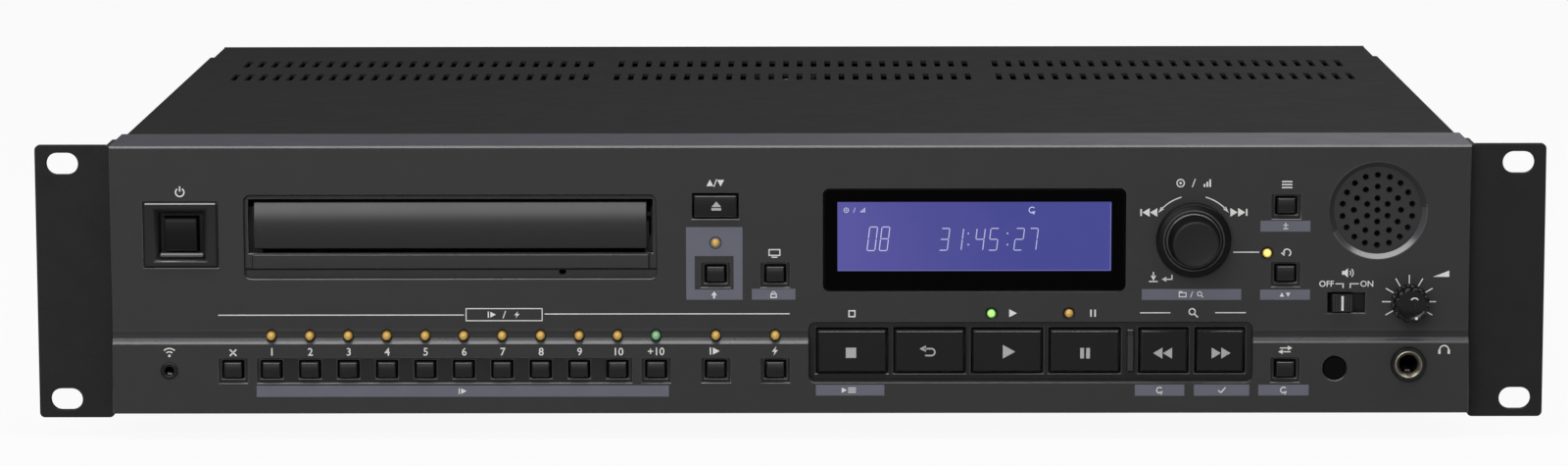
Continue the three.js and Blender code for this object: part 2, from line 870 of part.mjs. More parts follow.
function powerButton() {
  const flangeSide = throatOuter - 2 * flangeRim;
  const flangeFront = throatDepth + fitGap;
  const cap = bar(0, 0, powerCap, powerCap, powerCapBack, flangeFront + half(flangeThick));
  const flange = bar(0, 0, flangeSide, flangeSide, flangeFront, flangeFront + flangeThick);
  const stem = rodY(0, 0, stemWidth, flangeFront, boardBack + flangeThick, 12);
  return joined([cap, flange, stem]);
}

// Control board with its switches, lamps, encoder, potentiometer and sockets soldered on
function controlBoard() {
  const back = boardBack;
  const strip = block(-boardHalf, boardHalf, boardFront, back, boardFoot, boardStripTop);
  const right = block(boardRightFrom, boardRightTo, boardFront, back, boardFoot, boardTop);
  const tabFrom = powerX - powerTabHalf;
  const tab = block(tabFrom, powerX + powerTabHalf, boardFront, back, boardFoot, powerTabTop);
  const phonesRoom = phonesBodySide + 2 * cutOver;
  const notch = bar(phonesX, phonesZ, phonesRoom, phonesRoom, boardFront - cutOver, back + cutOver);
  const powerHole = rodY(powerX, powerZ, stemWidth + runGap, boardFront - cutOver, back + cutOver, 12);
  const plate = cut(joined([strip, right, tab]), [notch, powerHole]);

  const parts = [plate];
  for (const key of keys) {
    const bodyFront = boardFront - switchTall;
    parts.push(bar(key.x, key.z, switchBody, switchBody, bodyFront, boardFront + half(boardThick)));
    parts.push(bar(key.x, key.z, switchTipSide, switchTipSide, switchTipY, boardFront));
  }
  for (const [x, z, face] of leds) {
    const tip = face - ledProud;
    const dome = [[0, tip], [half(ledRadius), tip], [ledRadius, tip + ledRadius]];
    parts.push(turned([...dome, [ledRadius, boardFront], [0, boardFront]], x, z, 8));
  }

  const shaftRoom = shaftRadius + runGap;
  const encoder = bar(dialX, dialZ, encoderSide, encoderSide, boardFront - encoderTall, back);
  parts.push(encoder.subtract(rodY(dialX, dialZ, shaftRoom, 0, boardFront, 16)));
  const pot = bar(levelX, levelZ, potSide, potSide, boardFront - potTall, back);
  parts.push(pot.subtract(rodY(levelX, levelZ, levelShaft + runGap, 0, boardFront - fitGap, 12)));
  const sliderBody = bar(sliderX, sliderZ, sliderSlotWidth, switchBody, boardFront - sliderBodyTall, back);
  parts.push(sliderBody);
  parts.push(bar(infraredX, infraredZ, switchBody, switchBody, boardFront - sliderBodyTall, back));

  const remote = rodY(remoteX, remoteZ, remoteRadius, lowerFace, back, 12);
  const remoteBody = bar(remoteX, remoteZ, switchBody + remoteRadius, switchBody, panelWall, back);
  const remoteHole = rodY(remoteX, remoteZ, remoteBore, lowerFace - cutOver, boardFront, 12);
  parts.push(remote.add(remoteBody).subtract(remoteHole));

  const powerSwitch = bar(powerX, powerZ, powerSwitchSide, powerSwitchSide, back, back + powerSwitchDepth);
  const plungerHole = rodY(powerX, powerZ, stemWidth + runGap, boardFront, back + half(powerSwitchDepth), 12);
  parts.push(powerSwitch.subtract(plungerHole));
  return joined(parts);
}

// Display lens and the module behind it
function displayWindow() {
  const front = roundedShape(lensWidth, lensHeight, lensCorner);
  const flange = roundedShape(lensWidth + 2 * lensRim, lensHeight + 2 * lensRim, lensCorner);
  const back = panelWall + fitGap;
  const end = back + lensFlange;
  return joined([slab(front, 0, 0, lensBack, end), slab(flange, 0, 0, back, end)]);
}

function displayModule() {
  const front = panelWall + fitGap + lensFlange + fitGap;
  const back = boardFront - fitGap;
  const middle = half(front + back);
  const glassWidth = moduleWidth - 2 * moduleGlassRim;
  const glassHeight = moduleHeight - 2 * moduleGlassRim;
  return joined([
    bar(0, 0, moduleWidth, moduleHeight, middle, back),
    bar(0, 0, glassWidth, glassHeight, front, back),
  ]);
}

// Loudspeaker driver: rim, basket, magnet, with the cone hollow open to the grille
function speakerDriver() {
  const front = panelWall + fitGap;
  const waist = front + driverRim;
  const coneEnd = waist + driverCone;
  const back = coneEnd + driverDeep;
  const inner = driverRadius - 2 * driverRim;
  const profile = [
    [inner, front], [driverRadius, front], [driverRadius, waist],
    [driverMagnet, coneEnd], [driverMagnet, back],
    [0, back], [0, coneEnd - driverRim], [half(driverMagnet), coneEnd - driverRim],
  ];
  return turned(profile, 0, 0, 24);
}

function phonesJack() {
  const front = lowerFace - fitGap;
  const back = phonesDeep;
  const bodyFront = panelWall - stepOut + fitGap;
  const ring = rodY(0, 0, phonesRing, front - phonesProud, front, 20);
  const thread = rodY(0, 0, phonesThread, front - phonesProud, back, 20);
  const body = bar(0, 0, phonesBodySide, phonesBodySide, bodyFront, back);
  return joined([ring, thread, body]).subtract(rodY(0, 0, phonesBore, front - cutOver * 2, back - sheet, 20));
}

function infraredWindow() {
  const flangeFront = panelWall - stepOut + fitGap;
  const flangeBack = flangeFront + infraredFlange;
  const flangeRadius = infraredRadius + infraredFlange;
  return joined([
    rodY(0, 0, infraredRadius, lowerFace, flangeBack, 20),
    rodY(0, 0, flangeRadius, flangeFront, flangeBack, 20),
  ]);
}

// Dial: a shaft that can be pushed, and the knob that turns on it
function dialKnob() {
  const skirtFront = dialLift + dialSkirtThick;
  const bore = shaftRadius + fitGap;
  const profile = [
    [bore, -dialLift], [dialSkirtRadius - dialRound, -dialLift], [dialSkirtRadius, -dialLift - dialRound],
    [dialSkirtRadius - dialRound, -skirtFront], [dialBaseRadius, -skirtFront],
    [dialFaceRadius, -dialReach + dialRound], [dialFaceRadius - dialRound, -dialReach],
    [0, -dialReach], [0, -shaftFront - fitGap], [bore, -shaftFront - fitGap],
  ];
  return turned(profile, 0, 0, 32);
}

function levelKnob() {
  const back = -levelLift;
  const profile = [
    [0, -levelReach], [levelRadius - levelRibDepth * 2, -levelReach],
    [levelRadius, -levelReach * levelRoundShare], [levelRadius, back],
    [levelShaft, back], [levelShaft, levelStemEnd], [0, levelStemEnd],
  ];
  const flutes = Array.from({ length: levelRibs }, (_, i) => {
    const a = (2 * Math.PI * (i + halfShare)) / levelRibs;
    const x = (levelRadius + levelRibDepth) * Math.cos(a);
    const z = (levelRadius + levelRibDepth) * Math.sin(a);
    return rodY(x, z, 2 * levelRibDepth, -levelReach - cutOver, back + cutOver, 6);
  });
  return cut(turned(profile, 0, 0, 24), flutes);
}

function speakerSlider() {
  const back = panelWall + fitGap;
  const flangeWidth = sliderSlotWidth + sliderTravel;
  const flangeHeight = sliderSlotHeight + 2 * flangeRim;
  const plateBack = back + flangeThick;
  return joined([
    bar(0, 0, sliderWidth, sliderHeight, -sliderProud, plateBack),
    bar(0, 0, flangeWidth, flangeHeight, back, plateBack),
  ]);
}

// Rack ear: a plate with two slots and a flange along the side of the panel
function rackEar(side) {
  const inner = panelHalf + fitGap;
  const outer = rackHalf;
  const plateBack = earSetBack + earThick;
  const middleZ = half(earHeight) - earDrop;
  const outline = roundedShape(earWidth, earHeight, earCorner);
  const plate = slab(outline, half(inner + outer), middleZ, earSetBack, plateBack);
  const flangeTop = panelHeight - earThick * halfShare;
  const flange = block(inner, inner + earThick, earSetBack, earSetBack + earFlangeDepth, 0, flangeTop);
  const slotShape = roundedShape(slotLength, slotHeight, half(slotHeight));
  const slots = [-1, 1].map((end) => {
    const z = middleZ + end * half(slotSpacingZ);
    return slab(slotShape, slotX, z, earSetBack - cutOver, plateBack + cutOver, 5);
  });
  const right = cut(plate.add(flange), slots);
  return side > 0 ? right : right.mirror([1, 0, 0]);
}

// Cover: a bonnet with bulged sides and rows of slots
function topCover() {
  const rear = caseDepth;
  const outside = block(-coverHalf, coverHalf, caseFront, rear, coverSkirt, panelHeight);
  const insideHalf = coverHalf - coverSheet;
  const bulgeRear = rear - bulgeRearMargin;
  const bulgeFront = caseFront + bulgeFrontMargin;
  const bulgeTop = panelHeight - bulgeTopDrop;
  const bulgeHalf = coverHalf + bulgeOut;
  const bulge = block(-bulgeHalf, bulgeHalf, bulgeFront, bulgeRear, bulgeFoot, bulgeTop);
  const hollow = [caseFront - cutOver, rear + cutOver, coverSkirt - cutOver, coverUnder];
  const room = block(-insideHalf, insideHalf, ...hollow);
  const bulgeRoom = block(
    -bulgeHalf + coverSheet,
    bulgeHalf - coverSheet,
    bulgeFront + coverSheet,
    bulgeRear - coverSheet,
    bulgeFoot + coverSheet,
    bulgeTop - coverSheet,
  );
  const vents = [];
  for (let group = 0; group < ventGroups; group += 1) {
    const groupX = (group - half(ventGroups - 1)) * ventGroupPitch;
    for (let i = 0; i < ventsPerGroup; i += 1) {
      const x = groupX + (i - half(ventsPerGroup - 1)) * ventPitch;
      for (const y of [ventFrontRowY, ventRearRowY]) {
        const span = [x - half(ventSlotWidth), x + half(ventSlotWidth)];
        const run = [y - half(ventSlotLength), y + half(ventSlotLength)];
        vents.push(block(...span, ...run, coverUnder - cutOver, panelHeight + cutOver));
      }
    }
  }
  return cut(outside.add(bulge), [room.add(bulgeRoom), joined(vents)]);
}

// Chassis: base, two sides with tongues inside the panel, a front rail and standoffs
function bottomChassis() {
  const side = chassisHalf;
  const inner = side - sheet;
  const base = block(-side, side, caseFront, chassisRear, 0, sheet);
  const rail = block(-side, side, caseFront, caseFront + sheet, 0, frontRailHeight);
  const walls = [-1, 1].flatMap((end) => {
    const x0 = end > 0 ? inner : -side;
    const x1 = x0 + sheet;
    const tongueTop = tongueFoot + tongueHeight;
    return [
      block(x0, x1, caseFront, chassisRear, 0, chassisTop),
      block(x0, x1, tongueFront, caseFront + sheet, tongueFoot, tongueTop),
    ];
  });
  const insetX = 2 * standoffRadius;
  const xs = [mainBoardLeft + insetX, mainBoardRight - insetX];
  const ys = [mainBoardFront + insetX, mainBoardRear - 4 * insetX];
  const posts = xs.flatMap((x) => ys.map((y) => rodZ(x, y, standoffRadius, 0, mainBoardZ - fitGap, 10)));
  return joined([base, rail, ...walls, ...posts]);
}

function rearPanel() {
  const side = chassisHalf;
  const plate = block(-side, side, rearPanelY, rearFace, coverSkirt, chassisTop);
  const span = [rearPanelY - cutOver, rearFace + cutOver];
  const cuts = [balancedLeftX, balancedRightX].map((x) => {
    return rodY(x, connectorZ, balancedCup + runGap, ...span, 20);
  });
  for (let i = 0; i < phonoCount; i += 1) {
    cuts.push(rodY(phonoX - i * phonoPitch + phonoPitch, connectorZ, phonoRadius + runGap, ...span, 12));
  }
  const portRoom = [portWidth + 2 * runGap, portHeight + 2 * runGap];
  cuts.push(bar(portMiddle, connectorZ, ...portRoom, ...span));
  cuts.push(bar(inletX, inletZ, inletWidth + 2 * runGap, inletHeight + 2 * runGap, ...span));
  return cut(plate, cuts);
}

function foot() {
  const profile = [[0, 0], [footRadius - footTaper, 0], [footRadius, footHeight], [0, footHeight]];
  return turnedUp(profile, 0, 0, 20);
}

// Tray with its disc pocket, its slot for the turntable and its rack
function toothedBar() {
  const addendum = addendumShare * gearModule;
  const dedendum = dedendumShare * gearModule;
  const tip = rackPitchX + addendum;
  const root = rackPitchX - dedendum;
  const heel = root - rackBack;
  const halfRoot = half(toothPitch) * (1 - flankShare * halfShare) - toothThin;
  const halfTip = half(toothPitch) * flankShare - toothThin * flankShare;
  const first = gearY - 2 * toothPitch;
  const shape = new THREE.Shape();
  shape.moveTo(heel, first - toothPitch);
  shape.lineTo(root, first - toothPitch);
  for (let i = 0; i < rackTeeth; i += 1) {
    const y = first + i * toothPitch;
    shape.lineTo(root, y - halfRoot);
    shape.lineTo(tip, y - halfTip);
    shape.lineTo(tip, y + halfTip);
    shape.lineTo(root, y + halfRoot);
  }
  const last = first + rackTeeth * toothPitch;
  shape.lineTo(root, last);
  shape.lineTo(heel, last);
  return plan(shape, gearFoot, trayFoot + half(discPocketDepth));
}

function discTray() {
  const w = half(trayWidth);
  const front = doorFront + doorThick + fitGap;
  const rear = front + trayLength;
  const plate = block(-w, w, front, rear, trayFoot, trayTop);
  const floor = trayTop - discPocketDepth;
  const pocket = rodZ(0, spindleY, discPocketRadius, floor, trayTop + cutOver, 48);
  const through = [trayFoot - cutOver, trayTop + cutOver];
  const slot = block(-traySlotHalf, traySlotHalf, spindleY, rear + cutOver, ...through);
  const slotEnd = rodZ(0, spindleY, traySlotHalf, ...through, 24);
  return cut(plate.add(toothedBar()), [pocket, slot, slotEnd]);
}

// Tray front: a glossy bar, convex from top to bottom
function trayFront() {
  const h = half(doorHeight);
  const centre = doorFoot + h;
  const steps = 8;
  const points = [];
  for (let i = 0; i <= steps; i += 1) {
    const share = (2 * i) / steps - 1;
    points.push([doorFront - doorBulge * (1 - share * share), centre + share * h]);
  }
  points.push([doorFront + doorThick, centre + h], [doorFront + doorThick, centre - h]);
  return section(points, -half(doorWidth), half(doorWidth));
}

function trayGear() {
  const addendum = addendumShare * gearModule;
  const dedendum = dedendumShare * gearModule;
  const tip = gearRadius + addendum;
  const root = gearRadius - dedendum;
  const step = (2 * Math.PI) / gearTeeth;
  const halfRoot = half(step) * (1 - flankShare) - (toothThin / gearRadius) * flankShare;
  const halfTip = half(step * flankShare * halfShare);
  const points = [];
  for (let i = 0; i < gearTeeth; i += 1) {
    const a = (i + halfShare) * step;
    const corners = [[root, a - halfRoot], [tip, a - halfTip], [tip, a + halfTip], [root, a + halfRoot]];
    for (const [r, angle] of corners) {
      points.push(new THREE.Vector2(r * Math.cos(angle), r * Math.sin(angle)));
    }
  }
  const body = plan(new THREE.Shape(points), 0, gearThick);
  return body.subtract(rodZ(0, 0, postRadius + fitGap, -cutOver, gearThick + cutOver, 12));
}

// Loader frame: deck with a well for the traverse, side walls with ledges, legs and posts
function loaderFrame() {
  const outer = loaderOuter;
  const deck = block(-outer, outer, loaderFront, loaderRear, loaderDeck, loaderDeckTop);
  const well = block(
    -loaderWellHalf,
    loaderWellHalf,
    loaderWellFront,
    loaderWellRear,
    loaderDeck - cutOver,
    loaderDeckTop + cutOver,
  );
  const ledgeTop = trayFoot - fitGap;
  const tabFoot = trayTop + fitGap;
  const sides = [-1, 1].flatMap((end) => {
    const span = (a, b) => (end > 0 ? [a, b] : [-b, -a]);
    const run = [loaderFront, loaderRear, loaderDeck];
    const wall = block(...span(loaderInner, outer), ...run, loaderTop);
    const ledge = block(...span(loaderInner - ledgeWidth, outer), ...run, ledgeTop);
    const tabs = [loaderFront, spindleY + bridgeHalfLength + fitGap].map((y) => {
      return block(...span(loaderInner - tabReach, outer), y, y + tabLength, tabFoot, tabFoot + tabThick);
    });
    const legX = outer - half(legSide);
    const legs = [legFrontY, legRearY].map((y) => {
      return block(
        ...span(legX - half(legSide), legX + half(legSide)),
        y - half(legSide),
        y + half(legSide),
        sheet + fitGap,
        loaderDeck + half(loaderDeckThick),
      );
    });
    const postX = end * (traverseHalf - postInset);
    const posts = [traverseFront + postInset, traverseRear - postInset].flatMap((y) => {
      const headTop = traverseFoot - fitGap;
      const headFoot = headTop - traverseThick;
      return [
        rodZ(postX, y, postRadius, headFoot, loaderDeck + half(loaderDeckThick), 10),
        rodZ(postX, y, postHead, headFoot, headTop, 10),
      ];
    });
    return [wall, ledge, ...tabs, ...legs, ...posts];
  });
  const rearWall = block(-outer, outer, loaderRear - loaderWall, loaderRear, loaderDeck, loaderTop);
  const gearPost = rodZ(gearX, gearY, postRadius, loaderDeck, gearFoot + gearThick, 10);
  return joined([deck.subtract(well), ...sides, rearWall, gearPost]);
}

// Traverse: plate on four posts, with the spindle motor's fixed part and the pickup's rails
function traverseFrame() {
  const top = traverseFoot + traverseThick;
  const plate = block(-traverseHalf, traverseHalf, traverseFront, traverseRear, traverseFoot, top);
  const holes = [-1, 1].flatMap((end) => {
    const x = end * (traverseHalf - postInset);
    return [traverseFront + postInset, traverseRear - postInset].map((y) => {
      return rodZ(x, y, postRadius + fitGap, traverseFoot - cutOver, top + cutOver, 12);
    });
  });
  const stator = rodZ(0, spindleY, statorRadius, traverseFoot, statorTop, 20);
  const statorBore = rodZ(0, spindleY, spindleRadius + fitGap, top, statorTop + cutOver, 12);
  const blockTop = railZ + 2 * railRadius;
  const blocks = [railFrontY, railRearY - railBlock].map((y) => {
    return block(-railBlockHalf, railBlockHalf, y, y + railBlock, traverseFoot, blockTop);
  });
  const rails = [-1, 1].map((end) => {
    return rodY(end * railX, railZ, railRadius, railFrontY, railRearY, 8);
  });
  return cut(joined([plate, stator, ...blocks, ...rails]), [...holes, statorBore]);
}

function turntable() {
  const platformFoot = platformTop - platformThick;
  const profile = [
    [0, traverseFoot + traverseThick + fitGap], [spindleRadius, traverseFoot + traverseThick + fitGap],
    [spindleRadius, platformFoot], [platformRadius, platformFoot], [platformRadius, platformTop],
    [coneRadius, platformTop], [coneTopRadius, platformTop + coneTall], [0, platformTop + coneTall],
  ];
  return turnedUp(profile, 0, 0, 24);
}

function opticalPickup() {
  const earFoot = railZ + railRadius + fitGap;
  const run = [-pickupHalfLength, pickupHalfLength];
  const body = block(-pickupHalfWidth, pickupHalfWidth, ...run, pickupFoot, pickupTop);
  const ears = block(-pickupEarWidth, pickupEarWidth, ...run, earFoot, pickupTop);
  const lens = rodZ(0, -lensOffset, lensRadius, pickupTop - lensTall, pickupTop + lensTall, 14);
  return joined([body, ears, lens]);
}

function clampBridge() {
  const outer = loaderOuter;
  const y0 = spindleY - bridgeHalfLength;
  const y1 = spindleY + bridgeHalfLength;
  const plate = block(-outer, outer, y0, y1, bridgeFoot, bridgeFoot + bridgeThick);
  const hole = rodZ(0, spindleY, bridgeHole, bridgeFoot - cutOver, bridgeFoot + cutOver, 24);
  return plate.subtract(hole);
}

function discClamp() {
  const top = bridgeFoot + bridgeThick + fitGap;
  const profile = [
    [0, clampFoot], [clampFlange, clampFoot], [clampFlange, clampFoot + clampFlangeThick],
    [clampNeck, clampFoot + clampFlangeThick], [clampNeck, top],
    [clampTopFlange, top], [clampTopFlange, top + bridgeThick], [0, top + bridgeThick],
  ];
  return turnedUp(profile, 0, 0, 24);
}

// Main board with the rear connectors soldered to it
function mainBoard() {
  const top = mainBoardZ + boardThick;
  const plate = block(mainBoardLeft, mainBoardRight, mainBoardFront, mainBoardRear, mainBoardZ, top);
  const parts = [plate];
  const bodyBack = rearPanelY - fitGap;
  const bodyTop = connectorZ + half(balancedSide);
  for (const x of [balancedLeftX, balancedRightX]) {
    const span = [x - half(balancedSide), x + half(balancedSide)];
    const body = block(...span, bodyBack - balancedBody, bodyBack, mainBoardZ, bodyTop);
    const cup = rodY(x, connectorZ, balancedCup, bodyBack - balancedBody, rearFace + balancedProud, 20);
    const mouth = rearFace + balancedProud;
    const hollow = rodY(x, connectorZ, balancedBore, mouth - balancedBoreDeep, mouth + cutOver, 20);
    const contacts = [0, 1, 2].map((i) => {
      const a = (2 * Math.PI * i) / 3 - Math.PI / 2;
      const px = x + contactCircle * Math.cos(a);
      const pz = connectorZ + contactCircle * Math.sin(a);
      const floor = mouth - balancedBoreDeep;
      return rodY(px, pz, contactRadius, floor - fitGap, floor + contactLength, 8);
    });
    parts.push(joined([body.add(cup).subtract(hollow), ...contacts]));
  }
  const phonoBody = half(balancedBody);
  for (let i = 0; i < phonoCount; i += 1) {
    const x = phonoX - i * phonoPitch + phonoPitch;
    const side = half(phonoPitch) - fitGap;
    const body = block(x - side, x + side, bodyBack - phonoBody, bodyBack, mainBoardZ, connectorZ + side);
    const barrel = rodY(x, connectorZ, phonoRadius, bodyBack - phonoBody, rearmost, 12);
    const bore = rodY(x, connectorZ, phonoBore, bodyBack, rearmost + cutOver, 8);
    parts.push(body.add(barrel).subtract(bore));
  }
  const portBody = half(balancedBody);
  const portSpan = [portMiddle - half(portWidth), portMiddle + half(portWidth)];
  const portTop = connectorZ + half(portHeight);
  parts.push(block(...portSpan, bodyBack - portBody, bodyBack, mainBoardZ, portTop));
  parts.push(bar(portMiddle, connectorZ, portWidth, portHeight, bodyBack - portBody, rearFace + portProud));
  return joined(parts);
}

function mainsInlet() {
  const flangeFront = rearFace + fitGap;
  const mouth = flangeFront + inletFlange;
  const bodyFront = mouth - inletBodyDeep;
  const flange = bar(0, 0, inletFlangeWidth, inletHeight + 2 * inletWall, flangeFront, mouth);
  const body = bar(0, 0, inletWidth, inletHeight, bodyFront, mouth);
  const cavityFloor = mouth - inletCavityDeep;
  const cavity = bar(0, 0, inletCavityWidth, inletCavityHeight, cavityFloor, mouth + cutOver);
  const pins = [[-inletPinX, 0], [0, inletPinRise], [inletPinX, 0]].map(([x, z]) => {
    return bar(x, z, inletPinWidth, inletPinHeight, cavityFloor - fitGap, cavityFloor + inletPinLength);
  });
  return joined([flange.add(body).subtract(cavity), ...pins]);
}

// Mains transformer: a taped ring core that stands upright on a bracket
function mainsTransformer() {
  const front = 0;
  const back = coreThick;
  const r = coreRound;
  const b = coreRound * coreBevelShare;
  const ring = turned(
    [
      [0, front], [coreRadius - r, front], [coreRadius - b, front + b],
      [coreRadius, front + r], [coreRadius, back - r], [coreRadius - b, back - b],
      [coreRadius - r, back], [0, back],
    ],
    0,
    0,
    28,
  );
  const bolt = rodY(0, 0, bracketBolt, -bracketThick, back + bracketThick, 10);
  const cap = rodY(0, 0, coreInner + bracketBolt, back - fitGap, back + bracketThick, 20);
  const w = half(bracketWidth);
  const footZ = -coreZ + sheet + fitGap;
  const upright = block(-w, w, -bracketThick, fitGap, footZ, coreInner);
  const foot = block(-w, w, -bracketFoot, fitGap, footZ, footZ + bracketThick);
  return joined([ring, bolt, cap, upright, foot]);
}

// The assembly
const casing = new THREE.Group();
casing.add(
  piece("front_panel", frontPanel(), finishes.panel),
  piece("top_cover", topCover(), finishes.cover),
  piece("bottom_chassis", bottomChassis(), finishes.zinc),
  piece("rear_panel", rearPanel(), finishes.cover),
  piece("rack_ear_left", rackEar(-1), finishes.ear),
  piece("rack_ear_right", rackEar(1), finishes.ear),
);

const controls = new THREE.Group();
controls.add(
  piece("power_bezel", powerBezel(), finishes.cap, powerX, 0, powerZ),
  piece("power_button", powerButton(), finishes.cap, powerX, 0, powerZ),
  piece("control_board", controlBoard(), finishes.board),
  piece("display_window", displayWindow(), finishes.gloss, lensX, 0, lensZ),
  piece("display_module", displayModule(), finishes.greyPlastic, lensX, 0, lensZ),
  piece("speaker_driver", speakerDriver(), finishes.blackPlastic, grilleX, 0, grilleZ),
  piece("phones_jack", phonesJack(), finishes.blackPlastic, phonesX, 0, phonesZ),
  piece("infrared_window", infraredWindow(), finishes.gloss, infraredX, 0, infraredZ),
  piece("dial_shaft", rodY(0, 0, shaftRadius, -shaftFront, shaftBack, 16), finishes.steel, dialX, 0, dialZ),
  piece("data_dial", dialKnob(), finishes.cap, dialX, 0, dialZ),
  piece("level_knob", levelKnob(), finishes.gloss, levelX, 0, levelZ),
  piece("speaker_switch", speakerSlider(), finishes.cap, sliderX - half(sliderTravel), 0, sliderZ),
);
for (const key of keys) {
  controls.add(piece(key.name, button(key), finishes.cap, key.x, key.face, key.z));
}

const loader = new THREE.Group();
loader.position.x = trayX;
loader.add(
  piece("tray_front", trayFront(), finishes.door),
  piece("disc_tray", discTray(), finishes.blackPlastic),
  piece("loader_frame", loaderFrame(), finishes.greyPlastic),
  piece("tray_gear", trayGear(), finishes.white, gearX, gearY, gearFoot),
  piece("clamp_bridge", clampBridge(), finishes.zinc),
  piece("disc_clamp", discClamp(), finishes.blackPlastic, 0, spindleY, 0),
  piece("traverse_frame", traverseFrame(), finishes.zinc),
  piece("turntable", turntable(), finishes.blackPlastic, 0, spindleY, 0),
  piece("optical_pickup", opticalPickup(), finishes.greyPlastic, 0, spindleY + pickupInner, 0),
);

const electronics = new THREE.Group();
electronics.add(
  piece("main_board", mainBoard(), finishes.board),
  piece("mains_inlet", mainsInlet(), finishes.blackPlastic, inletX, 0, inletZ),
  piece("mains_transformer", mainsTransformer(), finishes.tape, coreX, coreFrontY, coreZ),
);

const body = new THREE.Group();
body.position.z = footHeight + fitGap;
body.add(casing, controls, loader, electronics);

const player = new THREE.Group();
player.name = "cd_player";
player.position.y = half(dialReach - rearmost);
player.add(body);
for (const [end, y] of [["front", footFrontY], ["rear", footRearY]]) {
  player.add(
    piece("foot_" + end + "_left", foot(), finishes.rubber, -footX, y, 0),
    piece("foot_" + end + "_right", foot(), finishes.rubber, footX, y, 0),
  );
}

const part = new THREE.Group();
part.add(player);

export default part;
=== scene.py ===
"""Dresses the solids of a two-unit 19 inch rack disc player: finishes, print, lamps, knobs and stage."""

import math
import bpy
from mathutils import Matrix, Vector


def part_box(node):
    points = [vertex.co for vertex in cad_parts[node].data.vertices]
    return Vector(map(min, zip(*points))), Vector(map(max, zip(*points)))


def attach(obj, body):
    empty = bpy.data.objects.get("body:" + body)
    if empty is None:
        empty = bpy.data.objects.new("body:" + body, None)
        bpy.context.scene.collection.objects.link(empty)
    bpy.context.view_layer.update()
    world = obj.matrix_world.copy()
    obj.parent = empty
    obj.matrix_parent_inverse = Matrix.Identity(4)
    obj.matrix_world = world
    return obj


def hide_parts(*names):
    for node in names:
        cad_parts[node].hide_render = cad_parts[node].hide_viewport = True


bl_info = {
    "name": "Rack disc player",
    "version": (1, 0, 0),
    "blender": (4, 5, 0),
    "location": "View3D > Sidebar > Disc player",
    "description": "Dresses the solids of a rack disc player with its finishes, print, lamps and knobs",
    "category": "Object",
}

import bmesh
import bpy
from bpy.props import FloatProperty, FloatVectorProperty, PointerProperty, StringProperty
from mathutils import Matrix, Vector

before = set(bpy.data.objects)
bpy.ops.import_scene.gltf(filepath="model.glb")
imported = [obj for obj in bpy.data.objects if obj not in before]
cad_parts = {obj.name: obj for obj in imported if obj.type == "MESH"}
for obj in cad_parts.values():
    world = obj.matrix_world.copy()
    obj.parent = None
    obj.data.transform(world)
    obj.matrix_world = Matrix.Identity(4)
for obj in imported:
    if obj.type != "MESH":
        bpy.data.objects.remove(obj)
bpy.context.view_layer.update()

# Lengths below are millimetres of the front panel: x to the right of its middle, y back from its
# upper face, z up from its lower edge. PLACE takes them to the frame's metres.
MM = 0.001
STEP_OUT = 2.0
PANEL_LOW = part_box("front_panel")[0]
PLACE = Matrix.Translation((0, PANEL_LOW.y + STEP_OUT * MM, PANEL_LOW.z)) @ Matrix.Diagonal((MM, MM, MM, 1))
UPPER = 0.0
LOWER = -STEP_OUT
LEDGE_FOOT = 22.5
LEDGE_RISE = 4.9
# Print stands so far before its face, and reaches so far into it
INK = 0.04
SLATE_INK = 0.03
INK_FOOT = 0.02

# Columns of the number keys
NUMBER_X = [-165.8 + 12.3 * i for i in range(11)]
# The small keys, each with the face that it stands in
SMALL_KEYS = {
    **dict.fromkeys(["clear_button", "cue_button", "flash_button", "play_mode_button"], LOWER),
    **dict.fromkeys(["shift_button", "display_button", "jog_button", "menu_button"], UPPER),
    **dict.fromkeys([f"track_key_{name}" for name in [*range(1, 11), "plus_10"]], LOWER),
}
# The large keys, each with its mark and the mark's place
LARGE_KEYS = {
    "stop": ("stop_key", 19.5, 19.4),
    "call": ("back", 44.6, 19.6),
    "play": ("play_key", 69.9, 19.7),
    "pause": ("pause_key", 94.3, 19.2),
    "search_back": ("back_key", 119.2, 19.2),
    "search_forward": ("forward_key", 137.6, 19.2),
}
# Middles of the controls, and the middle and size of the display
DIAL = (128.6, 55.7)
LEVEL = (197.6, 35.6)
GRILLE = (187.3, 64.9)
PHONES = (197.4, 15.8)
REMOTE = (-198.5, 13.9)
LCD = (58.85, 56.7, 87.3, 22.2)


def linear(value):
    """The linear colour of an sRGB hex value."""
    parts = [int(value[i : i + 2], 16) / 255 for i in (1, 3, 5)]
    return [c / 12.92 if c <= 0.04045 else ((c + 0.055) / 1.055) ** 2.4 for c in parts]


def add(tree, kind, settings=None, links=None):
    """Adds a node, sets its properties and sockets, and links sockets from {socket: (node, output)}."""
    made = tree.nodes.new(kind)
    for key, value in (settings or {}).items():
        if isinstance(key, str) and hasattr(made, key):
            setattr(made, key, value)
        else:
            made.inputs[key].default_value = value
    for key, (source, output) in (links or {}).items():
        tree.links.new(source.outputs[output], made.inputs[key])
    return made


def new_material(name):
    """An empty node material and its tree."""
    material = bpy.data.materials.new(name)
    material.use_nodes = True
    material.node_tree.nodes.clear()
    return material, material.node_tree


def rgba(colour, share=1.0):
    """A colour for a socket, darkened to a share of itself."""
    return (colour[0] * share, colour[1] * share, colour[2] * share, 1.0)


def noise(tree, place, width, detail=2.0):
    """A cloudy pattern with forms some millimetres wide."""
    settings = {"Scale": 1 / (width * MM), "Detail": detail}
    return add(tree, "ShaderNodeTexNoise", settings, {"Vector": (place, "Object")})


def blend(tree, low, high, share):
    """A colour between two, by the first output of a node."""
    return add(tree, "ShaderNodeMix", {"data_type": "RGBA", 6: low, 7: high}, {0: (share, 0)})


